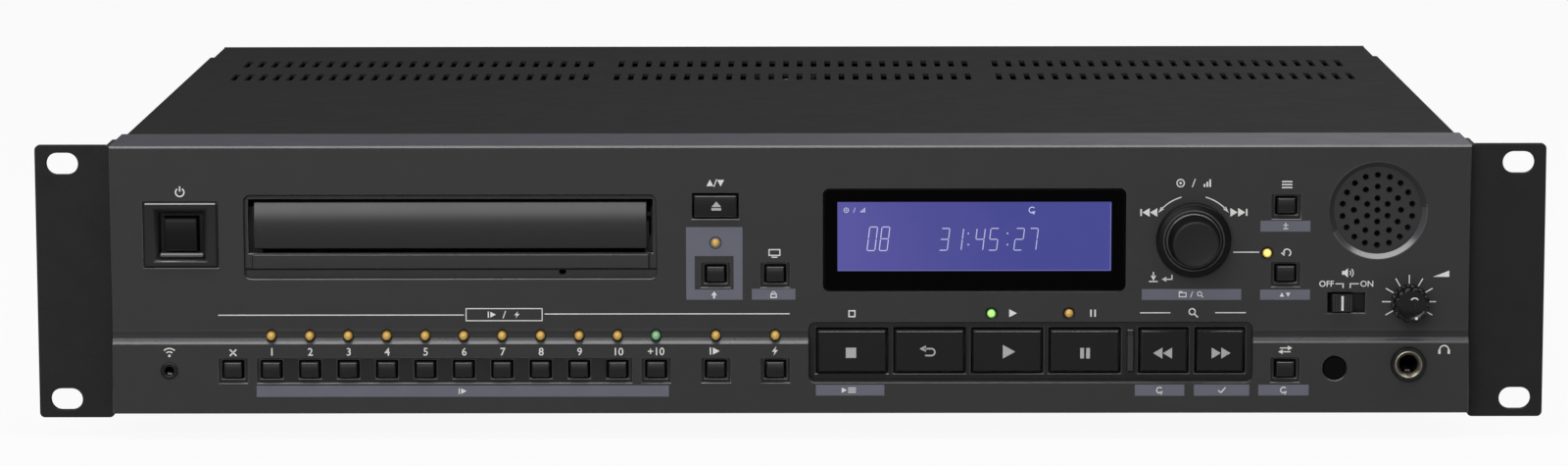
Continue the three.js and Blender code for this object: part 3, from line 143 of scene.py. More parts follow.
def roughness(tree, limits, source):
    """A roughness between two limits, by the first output of a node."""
    return add(tree, "ShaderNodeMapRange", {"To Min": limits[0], "To Max": limits[1]}, {"Value": (source, 0)})


def swayed(tree, place, base, width, reach):
    """A share from 0 to 1, given as (node, output), that a cloudy pattern moves up and down."""
    cloud = noise(tree, place, width)
    settings = {"operation": "MULTIPLY_ADD", 1: reach, 2: -reach / 2}
    sway = add(tree, "ShaderNodeMath", settings, {0: (cloud, 0)})
    return add(tree, "ShaderNodeMath", {"operation": "ADD", "use_clamp": True}, {0: base, 1: (sway, 0)})


def shaded(material, settings, links):
    """Closes a material with its one shader."""
    tree = material.node_tree
    shader = add(tree, "ShaderNodeBsdfPrincipled", settings, links)
    add(tree, "ShaderNodeOutputMaterial", {}, {0: (shader, 0)})
    return material


def finish(name, colour, rough, grain, relief, specular=0.5, metallic=0.0, vary=0.14, mottle=9.0):
    """A lightly mottled surface with a fine grain: widths and relief in millimetres, rough as a range."""
    if name in bpy.data.materials:
        return bpy.data.materials[name]
    material, tree = new_material(name)
    place = add(tree, "ShaderNodeTexCoord")
    cloud = noise(tree, place, mottle, 4.0)
    tint = blend(tree, rgba(colour, 1 + vary / 2), rgba(colour, 1 - vary / 2), cloud)
    pebble = noise(tree, place, grain)
    bump = add(tree, "ShaderNodeBump", {"Distance": relief * MM}, {"Height": (pebble, 0)})
    sheen = roughness(tree, rough, cloud)
    settings = {"Metallic": metallic, "Specular IOR Level": specular}
    links = {"Base Color": (tint, 2), "Roughness": (sheen, 0), "Normal": (bump, 0)}
    return shaded(material, settings, links)


# Named finishes: colour, roughness range, grain and relief in millimetres, then where given the
# specular level, metallic, the spread of the colour and the width of its mottling
FINISHES = {
    # ABS from a spark-eroded mould: even satin charcoal with a fine pebble; the pebble is 0.2 mm
    # on the real one and drawn at 0.7 mm so that it shows
    "moulded_abs_panel": ("#2d2d2e", (0.44, 0.56), 0.7, 0.012, 0.2),
    # The same moulding on top, where the polished mould wall leaves it smoother; it is a little lilac, and
    # its lighter colour is painted light from above
    "moulded_abs_top_painted_light": ("#403f46", (0.42, 0.5), 0.9, 0.004, 0.06),
    # Its broken edges, burnished by handling: they draw thin light lines where they face up
    "burnished_abs_edge": ("#2b2b2c", (0.24, 0.32), 1.2, 0.001, 0.6),
    # The slopes that face up, evenly smooth and glossy, lighter than the panel: a painted highlight, a bright
    # line where the light strikes
    "glossy_abs_slope_painted_highlight": ("#38383b", (0.27, 0.28), 2.0, 0.0001, 0.9, 0.0, 0.04),
    # Darker moulding, a painted shade: the sunk floors round the keys in the shade of their walls, the upper
    # ledge, and the power bezel
    "moulded_abs_dark_painted_shade": ("#202021", (0.5, 0.6), 0.7, 0.01, 0.15),
    # Vinyl-laminated steel sheet: flat charcoal with a leathery pebble that breaks up highlights
    "laminated_steel_cover": ("#232323", (0.72, 0.84), 0.9, 0.03, 0.04),
    # Wrinkle-coated steel: coarse matt black with light catching on the wrinkles, 1.1 mm apart
    "wrinkle_coat_ear": ("#131313", (0.55, 0.75), 1.1, 0.07, 0.25),
    # Key caps: ABS with a semi-gloss face that shows a soft band of light under its upper edge
    "moulded_abs_key": ("#1a1a1b", (0.3, 0.4), 0.6, 0.006, 0.16),
    # Larger keys with a finer face, a little darker
    "moulded_abs_large_key": ("#161617", (0.34, 0.44), 0.7, 0.005, 0.15),
    # The power key stands back in its bezel and is the darkest of the caps
    "moulded_abs_power_key": ("#0b0b0c", (0.34, 0.42), 0.7, 0.004, 0.12),
    # Chamfered rims of the keys, polished by fingers: a thin bright line above each
    "burnished_key_rim": ("#1c1c1d", (0.2, 0.28), 1.0, 0.0006, 1.0),
    # Polished ABS of the door: piano-black gloss with a long soft gradient
    "polished_abs_door": ("#030304", (0.35, 0.39), 0.5, 0.0004, 0.55),
    # Acrylic window, back-printed black: deep clear gloss
    "acrylic_window": ("#010102", (0.05, 0.08), 6.0, 0.0004, 0.03),
    # Infrared filter: dyed acrylic, black with a trace of red
    "dyed_acrylic_filter": ("#060405", (0.12, 0.2), 3.0, 0.001, 0.06),
    # Moulded cap of the dial with a satin black skin
    "satin_abs_dial": ("#1b1b1c", (0.32, 0.42), 0.6, 0.005, 0.2),
    # Clear-lacquered phenolic knob: near black with soft highlights on its flutes
    "glossy_phenolic_knob": ("#070708", (0.14, 0.22), 2.0, 0.001, 0.3),
    # Screen-printed epoxy ink: flat off-white, slightly broken at its edges
    "screen_print_white": ("#cecfcc", (0.5, 0.6), 0.5, 0.004, 0.2),
    # Pad-printed marks on the keys: a duller grey than the panel's print
    "pad_print_grey": ("#a2a2a0", (0.45, 0.55), 0.5, 0.004, 0.2),
    # Screen-printed slate ink: flat blue-grey bars
    "screen_print_slate": ("#5f606b", (0.5, 0.62), 0.6, 0.004, 0.15),
    # Bright nickel plate on turned brass
    "nickel_plate": ("#8d887c", (0.3, 0.42), 1.5, 0.003, 0.5, 1.0),
    # Black nylon bushing of the socket
    "moulded_nylon": ("#101011", (0.36, 0.5), 0.8, 0.006, 0.25),
    # Turned steel, faintly brushed
    "turned_steel": ("#b2b4b6", (0.25, 0.36), 0.8, 0.004, 0.5, 1.0),
    # Electro-galvanised sheet: pale grey metal with cloudy crystals 12 mm wide
    "galvanised_sheet": ("#a6a8a5", (0.32, 0.5), 1.6, 0.006, 0.5, 1.0, 0.3, 12.0),
    # Moulded rubber of the feet: dull black, slightly dusty
    "moulded_rubber": ("#191919", (0.75, 0.9), 0.8, 0.02),
    # Grey acetal of the loader's frame: waxy mid grey
    "moulded_acetal_grey": ("#55575a", (0.42, 0.55), 1.0, 0.008),
    # Black ABS of the disc tray: satin with a fine grain
    "moulded_abs_tray": ("#1b1b1c", (0.4, 0.52), 0.8, 0.01),
    # White acetal gear
    "moulded_acetal_white": ("#d5d3cb", (0.35, 0.46), 1.0, 0.006),
    # Red collar of a phono socket
    "moulded_acetal_red": ("#a3282c", (0.35, 0.46), 1.0, 0.006),
    # Pressed paper cone of the loudspeaker with a felt-like face
    "pressed_paper_cone": ("#141414", (0.8, 0.95), 0.7, 0.04),
    # Black oxide screws
    "black_oxide_screw": ("#2a2a2b", (0.3, 0.42), 0.8, 0.005, 0.5, 1.0),
}


def surface(name, colour=None):
    """The named finish, in its own colour or in one that is given."""
    value, *rest = FINISHES[name]
    return finish(name, linear(value) if colour is None else colour, *rest)


def banded(name, base, other, axis, limit, rough, grain):
    """Two colours in one solid, divided at a plane: base below the limit on an axis, other above it."""
    material, tree = new_material(name)
    place = add(tree, "ShaderNodeTexCoord")
    split = add(tree, "ShaderNodeSeparateXYZ", {}, {0: (place, "Object")})
    side = add(tree, "ShaderNodeMath", {"operation": "GREATER_THAN", 1: limit}, {0: (split, axis)})
    settings = {"distance": "CHEBYCHEV", "feature": "F1", "Scale": 1 / (grain * MM), "Randomness": 0.7}
    cells = add(tree, "ShaderNodeTexVoronoi", settings, {"Vector": (place, "Object")})
    tracks = blend(tree, rgba(linear(base), 0.72), rgba(linear(base), 1.15), cells)
    settings = {"data_type": "RGBA", 7: rgba(linear(other))}
    tint = add(tree, "ShaderNodeMix", settings, {0: (side, 0), 6: (tracks, 2)})
    sheen = roughness(tree, rough, noise(tree, place, 3))
    bump = add(tree, "ShaderNodeBump", {"Distance": 0.03 * MM}, {"Height": (cells, 0)})
    return shaded(material, {}, {"Base Color": (tint, 2), "Roughness": (sheen, 0), "Normal": (bump, 0)})


def wound_tape(name, centre, turns):
    """Polyester tape wound through a ring core: overlapping turns whose edges fan out from the hole."""
    material, tree = new_material(name)
    place = add(tree, "ShaderNodeTexCoord")
    settings = {"vector_type": "TEXTURE", "Location": centre, "Rotation": (math.pi / 2, 0, 0)}
    mapping = add(tree, "ShaderNodeMapping", settings, {"Vector": (place, "Object")})
    fan = add(tree, "ShaderNodeTexGradient", {"gradient_type": "RADIAL"}, {"Vector": (mapping, 0)})
    count = add(tree, "ShaderNodeMath", {"operation": "MULTIPLY", 1: float(turns)}, {0: (fan, "Fac")})
    lap = add(tree, "ShaderNodeMath", {"operation": "FRACT"}, {0: (count, 0)})
    tint = blend(tree, rgba(linear("#e6e2cf")), rgba(linear("#c3bda2")), lap)
    bump = add(tree, "ShaderNodeBump", {"Distance": 0.2 * MM}, {"Height": (lap, 0)})
    return shaded(material, {"Roughness": 0.4}, {"Base Color": (tint, 2), "Normal": (bump, 0)})


def lamp_epoxy(name, foot, tip, glow):
    """Tinted epoxy of a lamp: a clear dome, deep in colour at its foot and pale at its tip, lit or unlit; on
    an unlit lamp the pale tip is partly a painted highlight.
    """
    material, tree = new_material(name)
    place = add(tree, "ShaderNodeTexCoord")
    split = add(tree, "ShaderNodeSeparateXYZ", {}, {0: (place, "UV")})
    tint = blend(tree, rgba(foot), rgba(tip), swayed(tree, place, (split, 1), 0.8, 0.3))
    settings = {"Roughness": 0.2, "Emission Strength": glow}
    return shaded(material, settings, {"Base Color": (tint, 2), "Emission Color": (tint, 2)})


def lit_glass(name, left, right, x0, x1, glow):
    """Backlit display glass: violet at its left end, and its right colour from 60 % of the width on."""
    material, tree = new_material(name)
    place = add(tree, "ShaderNodeTexCoord")
    split = add(tree, "ShaderNodeSeparateXYZ", {}, {0: (place, "Object")})
    settings = {"From Min": x0 * MM, "From Max": (0.4 * x0 + 0.6 * x1) * MM}
    run = add(tree, "ShaderNodeMapRange", settings, {"Value": (split, 0)})
    tint = blend(tree, rgba(left), rgba(right), swayed(tree, place, (run, 0), 14, 0.5))
    settings = {"Base Color": (0.004, 0.004, 0.01, 1), "Roughness": 0.3, "Specular IOR Level": 0.1}
    return shaded(material, {**settings, "Emission Strength": glow}, {"Emission Color": (tint, 2)})


# Shapes, all in the panel's millimetres
def take_in(bm, part, slot=0):
    """Adds a part's faces to a mesh under one material slot, and frees the part."""
    bmesh.ops.recalc_face_normals(part, faces=part.faces)
    for face in part.faces:
        face.material_index = slot
    mesh = bpy.data.meshes.new("part")
    part.to_mesh(mesh)
    part.free()
    bm.from_mesh(mesh)
    bpy.data.meshes.remove(mesh)


def block(bm, x, z, width, height, front, back, slot=0, turn=0.0):
    """A box centred on (x, z), turned clockwise in the face's plane by some degrees."""
    part = bmesh.new()
    place = Matrix.Translation((x, (front + back) / 2, z)) @ Matrix.Rotation(math.radians(turn), 4, "Y")
    bmesh.ops.create_cube(part, size=1, matrix=place @ Matrix.Diagonal((width, back - front, height, 1)))
    take_in(bm, part, slot)


def bevel(bm, edges, width, segments=2, slot=None):
    """Rounds edges, or chamfers them with one segment, and gives the new faces a slot where one is named."""
    made = bmesh.ops.bevel(
        bm, geom=edges, offset=width, offset_type="OFFSET", affect="EDGES", segments=segments, profile=0.5,
        material=-1, clamp_overlap=False,
    )
    if slot is not None:
        for face in made["faces"]:
            face.material_index = slot


def plate(bm, x, z, width, height, corner, front, back, slot=0, edge=0.0):
    """A box with rounded corners, and with a rounded front rim where edge is given."""
    part = bmesh.new()
    place = Matrix.Translation((x, (front + back) / 2, z))
    bmesh.ops.create_cube(part, size=1, matrix=place @ Matrix.Diagonal((width, back - front, height, 1)))
    long_way = (back - front) / 2
    bevel(part, [e for e in part.edges if abs(e.verts[0].co.y - e.verts[1].co.y) > long_way], corner, 6)
    if edge:
        bevel(part, [e for e in part.edges if max(v.co.y for v in e.verts) < front + 1e-4], edge, 3)
    take_in(bm, part, slot)


def turned(bm, profile, x, z, slot=0, steps=64, sweep=360.0, start=0.0):
    """A profile of (radius, y) points spun about the axis through (x, z), or through part of a turn."""
    part = bmesh.new()
    a = math.radians(start)
    verts = [part.verts.new((x + r * math.cos(a), y, z + r * math.sin(a))) for r, y in profile]
    edges = [part.edges.new(pair) for pair in zip(verts, verts[1:])]
    closed = sweep >= 360
    if not closed:
        edges.append(part.edges.new((verts[-1], verts[0])))
        part.faces.new(verts)
    bmesh.ops.spin(
        part, geom=verts + edges + part.faces[:], cent=(x, 0, z), axis=(0, -1, 0), angle=math.radians(sweep),
        steps=steps, use_merge=closed,
    )
    bmesh.ops.remove_doubles(part, verts=part.verts, dist=1e-4)
    take_in(bm, part, slot)


def hoop(bm, profile, *more):
    """A closed profile of (radius, y) points spun into a ring."""
    turned(bm, [*profile, profile[0]], *more)


def spun(points, x, z, degrees):
    """Points turned about the origin and moved to (x, z)."""
    c, s = math.cos(math.radians(degrees)), math.sin(math.radians(degrees))
    return [(x + u * c - v * s, z + u * s + v * c) for u, v in points]


def pulled(bm, faces, way):
    """Pulls flat faces into a body, and leaves the faces at its foot."""
    made = bmesh.ops.extrude_face_region(bm, geom=faces, use_keep_orig=True)
    bmesh.ops.translate(bm, verts=[v for v in made["geom"] if isinstance(v, bmesh.types.BMVert)], vec=way)


def slab(bm, points, front, back, slot=0):
    """A flat shape of a few points in x and z, pulled from front to back."""
    part = bmesh.new()
    face = part.faces.new([part.verts.new((x, front, z)) for x, z in points])
    pulled(part, [face], (0, back - front, 0))
    take_in(bm, part, slot)


def words(bm, text, x, z, height, front, back):
    """Digits or a short mark set in a plain face, centred on (x, z)."""
    curve = bpy.data.curves.new("words", "FONT")
    curve.body = text
    curve.align_x = "CENTER"
    curve.offset = 0.008
    curve.resolution_u = 3
    curve.extrude = 0.5
    carrier = bpy.data.objects.new("words", curve)
    bpy.context.scene.collection.objects.link(carrier)
    bpy.context.view_layer.update()
    mesh = bpy.data.meshes.new_from_object(carrier.evaluated_get(bpy.context.evaluated_depsgraph_get()))
    bpy.data.objects.remove(carrier)
    bpy.data.curves.remove(curve)
    part = bmesh.new()
    part.from_mesh(mesh)
    bpy.data.meshes.remove(mesh)
    bmesh.ops.remove_doubles(part, verts=part.verts, dist=1e-4)
    low = min(v.co.y for v in part.verts)
    high = max(v.co.y for v in part.verts)
    scale = height / (high - low)
    lift = Matrix.Translation((x, (front + back) / 2, z)) @ Matrix.Diagonal((scale, back - front, scale, 1))
    upright = Matrix.Rotation(math.pi / 2, 4, "X") @ Matrix.Translation((0, -(low + high) / 2, 0))
    part.transform(lift @ upright)
    take_in(bm, part)


def ledge(z):
    """How far the face stands before the upper face at a height: a hollow arc over the ledge."""
    turn = 2 * math.atan2(STEP_OUT, LEDGE_RISE)
    radius = LEDGE_RISE / math.sin(turn)
    below = min(max(LEDGE_FOOT + LEDGE_RISE - z, 0), LEDGE_RISE)
    return math.sqrt(radius**2 - below**2) - radius


def panel_box(name):
    """A node's lowest and highest corner in the panel's millimetres."""
    return [PLACE.inverted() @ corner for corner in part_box(name)]


def node_copy(name):
    """A node's solid in the panel's millimetres, with its loose triangles merged into whole faces."""
    bm = bmesh.new()
    bm.from_mesh(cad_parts[name].data)
    bm.transform(PLACE.inverted())
    bmesh.ops.remove_doubles(bm, verts=bm.verts, dist=0.002)
    bmesh.ops.dissolve_limit(bm, angle_limit=math.radians(0.5), verts=bm.verts, edges=bm.edges)
    return bm


def sharp_edges(bm, least=35):
    """The outer edges that turn by at least some degrees."""
    turn = math.radians(least)
    real = [e for e in bm.edges if e.is_manifold and e.calc_length() > 0]
    return [e for e in real if e.calc_face_angle_signed() > turn]


def front_rim(bm, limit, least=35):
    """The sharp edges that lie before a depth."""
    return [e for e in sharp_edges(bm, least) if max(v.co.y for v in e.verts) < limit]


def material_of(look):
    """The material of a look, which is a finish's name or a material."""
    return surface(look) if isinstance(look, str) else look


def deliver(name, bm, looks, replaced=None, body="case", smooth=35):
    """Turns a mesh in the panel's millimetres into a piece that rides on a body of the frame."""
    bm.transform(PLACE)
    mesh = bpy.data.meshes.new(name)
    bm.to_mesh(mesh)
    bm.free()
    for look in looks:
        mesh.materials.append(material_of(look))
    mesh.shade_smooth()
    mesh.set_sharp_from_angle(angle=math.radians(smooth))
    piece = bpy.data.objects.new(name, mesh)
    bpy.context.scene.collection.objects.link(piece)
    even = piece.modifiers.new("even_shading", "WEIGHTED_NORMAL")
    even.keep_sharp = True
    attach(piece, body)
    if replaced:
        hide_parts(replaced)


def paint(nodes):
    """Gives CAD nodes a material each and leaves their shapes as they are."""
    for node, look in nodes.items():
        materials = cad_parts[node].data.materials
        materials.clear()
        materials.append(material_of(look))


# Print: pictograms as strokes about their own middle, in millimetres, each with its place. A bar has a
# width, a height and a turn in degrees. A disc has a radius. A ring has a radius, a stroke, and where its
# arc starts and how far it runs. A tri has a reach, a heading and how wide it spreads. A frame has a
# width, a height and a stroke. A poly has its corners.
SIGNS = {
    "power": [("ring", 0, -0.1, 1.55, 0.42, 125, 290), ("bar", 0, 1.0, 0.42, 1.7)],
    "waves": [("disc", 0, -1.1, 0.42), ("ring", 0, -1.1, 1.5, 0.38, 45, 90),
              ("ring", 0, -1.1, 2.6, 0.38, 45, 90)],
    "cross": [("bar", 0, 0, 0.45, 2.9, 45), ("bar", 0, 0, 0.45, 2.9, -45)],
    "cue": [("bar", -1.4, 0, 0.45, 2.3), ("tri", 0.4, 0, 1.15, 0)],
    "flash": [("poly", 0, 0, [(0.45, 1.5), (-0.95, -0.25), (-0.1, -0.25), (-0.45, -1.5), (0.95, 0.3),
                              (0.1, 0.3)])],
    "up_down": [("tri", -1.7, 0, 1.1, 90), ("tri", 1.7, 0, 1.1, -90), ("bar", 0, 0, 0.3, 2.6, 20)],
    "eject": [("tri", 0, 0.53, 0.95, 90, 1.65), ("bar", 0, -1.05, 3.1, 0.8)],
    "shift": [("tri", 0, 0.6, 0.85, 90, 1.35), ("bar", 0, -0.8, 0.8, 1.2)],
    "screen": [("frame", 0, 0.25, 3.8, 2.2, 0.36), ("bar", 0, -1.25, 1.9, 0.36)],
    "padlock": [("frame", 0, -0.55, 2.3, 1.6, 0.38), ("ring", 0, 0.3, 0.8, 0.3, 0, 180)],
    "stop": [("frame", 0, 0, 2.3, 2.3, 0.4)],
    "list": [("tri", -2.1, 0, 0.95, 0), ("bar", 0.7, 0.75, 2.8, 0.34), ("bar", 0.7, 0, 2.8, 0.34),
             ("bar", 0.7, -0.75, 2.8, 0.34)],
    "back": [("ring", 0.6, 0, 1.35, 0.5, -90, 180), ("bar", -0.6, 1.1, 2.4, 0.5),
             ("tri", -2.1, 1.1, 1.05, 180), ("bar", -0.4, -1.1, 2.0, 0.5)],
    "play": [("tri", 0, 0, 1.3, 0)],
    "pause": [("bar", -0.65, 0, 0.5, 2.3), ("bar", 0.65, 0, 0.5, 2.3)],
    "glass": [("ring", -0.35, 0.35, 1.15, 0.38, 0, 360), ("bar", 0.95, -0.95, 0.42, 1.5, -45)],
    "loop": [("ring", 0, 0, 1.15, 0.34, 40, 270), ("tri", 0.62, -0.75, 0.62, 40, 1.1)],
    "tick": [("bar", -0.85, -0.45, 0.38, 1.3, -45), ("bar", 0.5, 0.05, 0.38, 2.5, 40)],
    "disc_data": [("ring", -4.2, 0, 1.35, 0.36, 0, 360), ("disc", -4.2, 0, 0.4), ("bar", 0, 0, 0.3, 2.8, 20),
                  ("bar", 3.4, -0.75, 0.55, 0.9), ("bar", 4.3, -0.4, 0.55, 1.6), ("bar", 5.2, 0, 0.55, 2.4)],
    "press": [("bar", 0, 0.9, 0.4, 1.5), ("tri", 0, -0.3, 0.85, -90), ("bar", 0, -1.4, 2.8, 0.36)],
    "enter": [("bar", 0.1, -0.5, 2.2, 0.36), ("bar", 1.3, 0.15, 0.36, 1.65), ("tri", -1.2, -0.5, 0.8, 180)],
    "folders": [("frame", -3.0, -0.1, 2.6, 1.7, 0.32), ("bar", -3.7, 0.95, 1.2, 0.36),
                ("bar", 0, 0, 0.26, 2.2, 20), ("ring", 2.7, 0.2, 0.85, 0.3, 0, 360),
                ("bar", 3.55, -0.65, 0.32, 1.1, -45)],
    "menu": [("bar", 0, 0.95, 3.3, 0.42), ("bar", 0, 0, 3.3, 0.42), ("bar", 0, -0.95, 3.3, 0.42)],
    "plus_minus": [("bar", 0, 0.3, 1.7, 0.34), ("bar", 0, 0.3, 0.34, 1.7), ("bar", 0, -0.95, 1.7, 0.34)],
    "notch": [("tri", -1.1, 0, 0.8, 90), ("tri", 1.1, 0, 0.8, -90)],
    "turn": [("ring", 0, 0, 1.35, 0.36, -60, 260), ("tri", -1.1, -0.42, 0.68, 290, 1.1)],
    "modes": [("bar", -0.3, 0.6, 2.8, 0.36), ("tri", 1.5, 0.6, 0.75, 0), ("bar", 0.3, -0.6, 2.8, 0.36),
              ("tri", -1.5, -0.6, 0.75, 180)],
    "speaker": [("bar", -1.15, 0, 0.9, 1.2),
                ("poly", 0, 0, [(-0.75, 0.6), (0.3, 1.5), (0.3, -1.5), (-0.75, -0.6)]),
                ("ring", 0.25, 0, 1.1, 0.3, -45, 90), ("ring", 0.25, 0, 1.9, 0.3, -45, 90)],
    "wedge": [("poly", 0, 0, [(-2.6, -0.9), (2.6, -0.9), (2.6, 1.1)])],
    "headphones": [("ring", 0, -0.2, 1.65, 0.4, 0, 180), ("bar", -1.5, -0.75, 0.75, 1.4),
                   ("bar", 1.5, -0.75, 0.75, 1.4)],
    "box_mark": [("bar", -5.1, 0, 0.42, 2.0), ("tri", -3.6, 0, 0.95, 0), ("bar", 0, 0, 0.3, 2.5, 20),
                 ("poly", 0, 0, [(4.4, 1.15), (3.2, -0.2), (3.95, -0.2), (3.6, -1.15), (4.9, 0.25),
                                 (4.1, 0.25)])],
    "stop_key": [("bar", 0, 0, 3.3, 3.3)],
    "play_key": [("tri", 0, 0, 2.1, 0, 1.05)],
    "pause_key": [("bar", -0.95, 0, 1.2, 3.4), ("bar", 0.95, 0, 1.2, 3.4)],
    "back_key": [("tri", -1.6, 0, 1.55, 180, 1.15), ("tri", 1.5, 0, 1.55, 180, 1.15)],
    "forward_key": [("tri", -1.5, 0, 1.55, 0, 1.15), ("tri", 1.6, 0, 1.55, 0, 1.15)],
    "previous": [("bar", -3.0, 0, 0.5, 2.2), ("tri", -1.35, 0, 1.2, 180, 1.15),
                 ("tri", 1.1, 0, 1.2, 180, 1.15)],
    "next": [("bar", 3.0, 0, 0.5, 2.2), ("tri", 1.35, 0, 1.2, 0, 1.15), ("tri", -1.1, 0, 1.2, 0, 1.15)],
}


def sign(bm, name, x, z, face, slot=0, size=1.0, lift=0.0):
    """Prints a pictogram on a face at (x, z)."""
    front = face - INK - lift
    back = face + INK_FOOT - lift
    for kind, dx, dz, *rest in SIGNS[name]:
        px = x + dx * size
        pz = z + dz * size
        if kind == "poly":
            slab(bm, [(x + u * size, z + v * size) for u, v in rest[0]], front, back, slot)
            continue
        first, *more = rest
        reach = first * size
        if kind == "bar":
            block(bm, px, pz, reach, more[0] * size, front, back, slot, *more[1:])
        elif kind == "frame":
            outline(bm, px, pz, reach, more[0] * size, more[1] * size, front, back, slot)
        elif kind == "disc":
            turned(bm, [(0, front), (reach, front), (reach, back), (0, back)], px, pz, slot, 16)
        elif kind == "ring":
            inner = (first - more[0]) * size
            start, sweep = more[1:]
            stroke = [(reach, front), (reach, back), (inner, back), (inner, front)]
            if sweep >= 360:
                stroke.append(stroke[0])
            turned(bm, stroke, px, pz, slot, max(8, round(sweep / 12)), sweep, start)
        else:
            spread = reach * (more[1] if more[1:] else 1.0)
            corners = [(reach, 0), (-0.9 * reach, spread), (-0.9 * reach, -spread)]
            slab(bm, spun(corners, px, pz, more[0]), front, back, slot)


def outline(bm, x, z, width, height, line, front, back, slot=0):
    """Four strokes round a rectangle."""
    for end in (-1, 1):
        block(bm, x, z + end * (height - line) / 2, width, line, front, back, slot)
        block(bm, x + end * (width - line) / 2, z, line, height - 2 * line, front, back, slot)


# Where the print stands: bars and rules by their places and sizes, pictograms by their middles
SLATE_BARS = [
    (-104.7, 7.3, 131.9, 3.65, LOWER), (19.2, 7.5, 21.9, 3.5, LOWER), (118.1, 7.4, 15.8, 3.65, LOWER),
    (137.9, 7.4, 17.7, 3.65, LOWER), (157.7, 7.4, 16.1, 3.5, LOWER), (157.9, 59.95, 15.9, 3.5, UPPER),
    (158.0, 37.9, 15.9, 3.3, UPPER), (128.2, 38.0, 31.7, 3.5, UPPER), (-5.2, 38.2, 13.9, 3.5, UPPER),
]
RULES = [
    (-182.8, -104.2, 31.6), (-78.4, -0.1, 31.9), (111.8, 121.5, 32.1), (135.8, 145.6, 32.1),
    (141.4, 149.6, 51.6), (174.1, 176.5, 41.4), (178.8, 181.5, 41.4),
]
PLAIN_SIGNS = [
    ("power", -194.4, 71.3, UPPER), ("box_mark", -91.3, 31.7, UPPER), ("waves", -198.4, 19.9, LOWER),
    ("cross", -178.0, 19.8, LOWER), ("cue", -24.0, 20.2, LOWER), ("flash", -4.8, 20.2, LOWER),
    ("up_down", -23.7, 74.0, UPPER), ("screen", -4.9, 51.4, UPPER), ("stop", 19.8, 31.9, UPPER),
    ("play", 71.2, 32.0, UPPER), ("pause", 96.8, 32.0, UPPER), ("glass", 128.8, 32.1, UPPER),
    ("disc_data", 128.6, 73.8, UPPER), ("previous", 114.9, 64.4, UPPER), ("next", 142.5, 64.4, UPPER),
    ("press", 116.0, 43.6, UPPER), ("enter", 120.6, 43.4, UPPER), ("menu", 158.3, 73.3, UPPER),
    ("turn", 158.5, 51.4, UPPER), ("modes", 158.1, 20.4, LOWER), ("speaker", 177.7, 44.9, UPPER),
    ("wedge", 207.7, 44.5, UPPER), ("headphones", 208.8, 20.5, LOWER),
]
SLATE_SIGNS = [
    ("shift", -24.2, 38.0, UPPER, 0.8), ("padlock", -5.2, 38.2, UPPER, 0.9), ("cue", -104.7, 7.3, LOWER, 0.8),
    ("list", 19.2, 7.5, LOWER, 0.9), ("loop", 118.1, 7.4, LOWER, 0.95), ("tick", 138.0, 7.4, LOWER, 0.9),
    ("loop", 157.7, 7.4, LOWER, 0.95), ("plus_minus", 158.0, 60.0, UPPER, 0.9),
    ("notch", 158.0, 37.9, UPPER, 0.9), ("folders", 128.2, 38.0, UPPER, 0.95),
]

# What the properties of one kind share
COLOUR = {"subtype": "COLOR", "min": 0, "max": 1}
EDGE = {"unit": "LENGTH", "precision": 5}


class CasingLook(bpy.types.PropertyGroup):
    """Colours and edge sizes of the casing"""

    panel_colour: FloatVectorProperty(
        name="Panel", description="Colour of the moulded front panel", default=linear("#2d2d2e"), **COLOUR
    )
    cover_colour: FloatVectorProperty(
        name="Cover", description="Colour of the laminated cover", default=linear("#232323"), **COLOUR
    )
    ear_colour: FloatVectorProperty(
        name="Ears", description="Colour of the rack ears", default=linear("#131313"), **COLOUR
    )
    rim: FloatProperty(
        name="Rim", description="Chamfer of the panel's pockets and holes", default=0.00035, min=0.0001,
        max=0.0005, **EDGE
    )
    fold: FloatProperty(
        name="Fold", description="Rounding of the folded sheet's edges", default=0.0009, min=0.0002,
        max=0.001, **EDGE
    )


class ControlLook(bpy.types.PropertyGroup):
    """Colours of the keys, lamps and print"""

    key_colour: FloatVectorProperty(
        name="Keys", description="Colour of the small key caps", default=linear("#1a1a1b"), **COLOUR
    )
    print_colour: FloatVectorProperty(
        name="Print", description="Colour of the white print", default=linear("#cecfcc"), **COLOUR
    )
    slate_colour: FloatVectorProperty(
        name="Bars", description="Colour of the bars behind the second functions", default=linear("#5f606b"),
        **COLOUR
    )
    amber_colour: FloatVectorProperty(
        name="Amber lamps", description="Colour of the unlit amber lamps", default=linear("#c9a353"), **COLOUR
    )
    lamp_glow: FloatProperty(
        name="Lamp glow", description="Strength of the lit lamps", default=0.6, min=0, max=5
    )


class DisplayLook(bpy.types.PropertyGroup):
    """What the display shows, and its light"""

    track: StringProperty(name="Track", description="Two digits shown at the left", default="08")
    clock: StringProperty(name="Clock", description="Six digits of playing time", default="314527")
    left_colour: FloatVectorProperty(
        name="Left end", description="Colour of the backlight's left end", default=linear("#56539b"),
        **COLOUR
    )
    right_colour: FloatVectorProperty(
        name="Right end", description="Colour of the backlight's right end", default=linear("#44468f"),
        **COLOUR
    )
    glow: FloatProperty(name="Glow", description="Strength of the backlight", default=1.0, min=0, max=3)


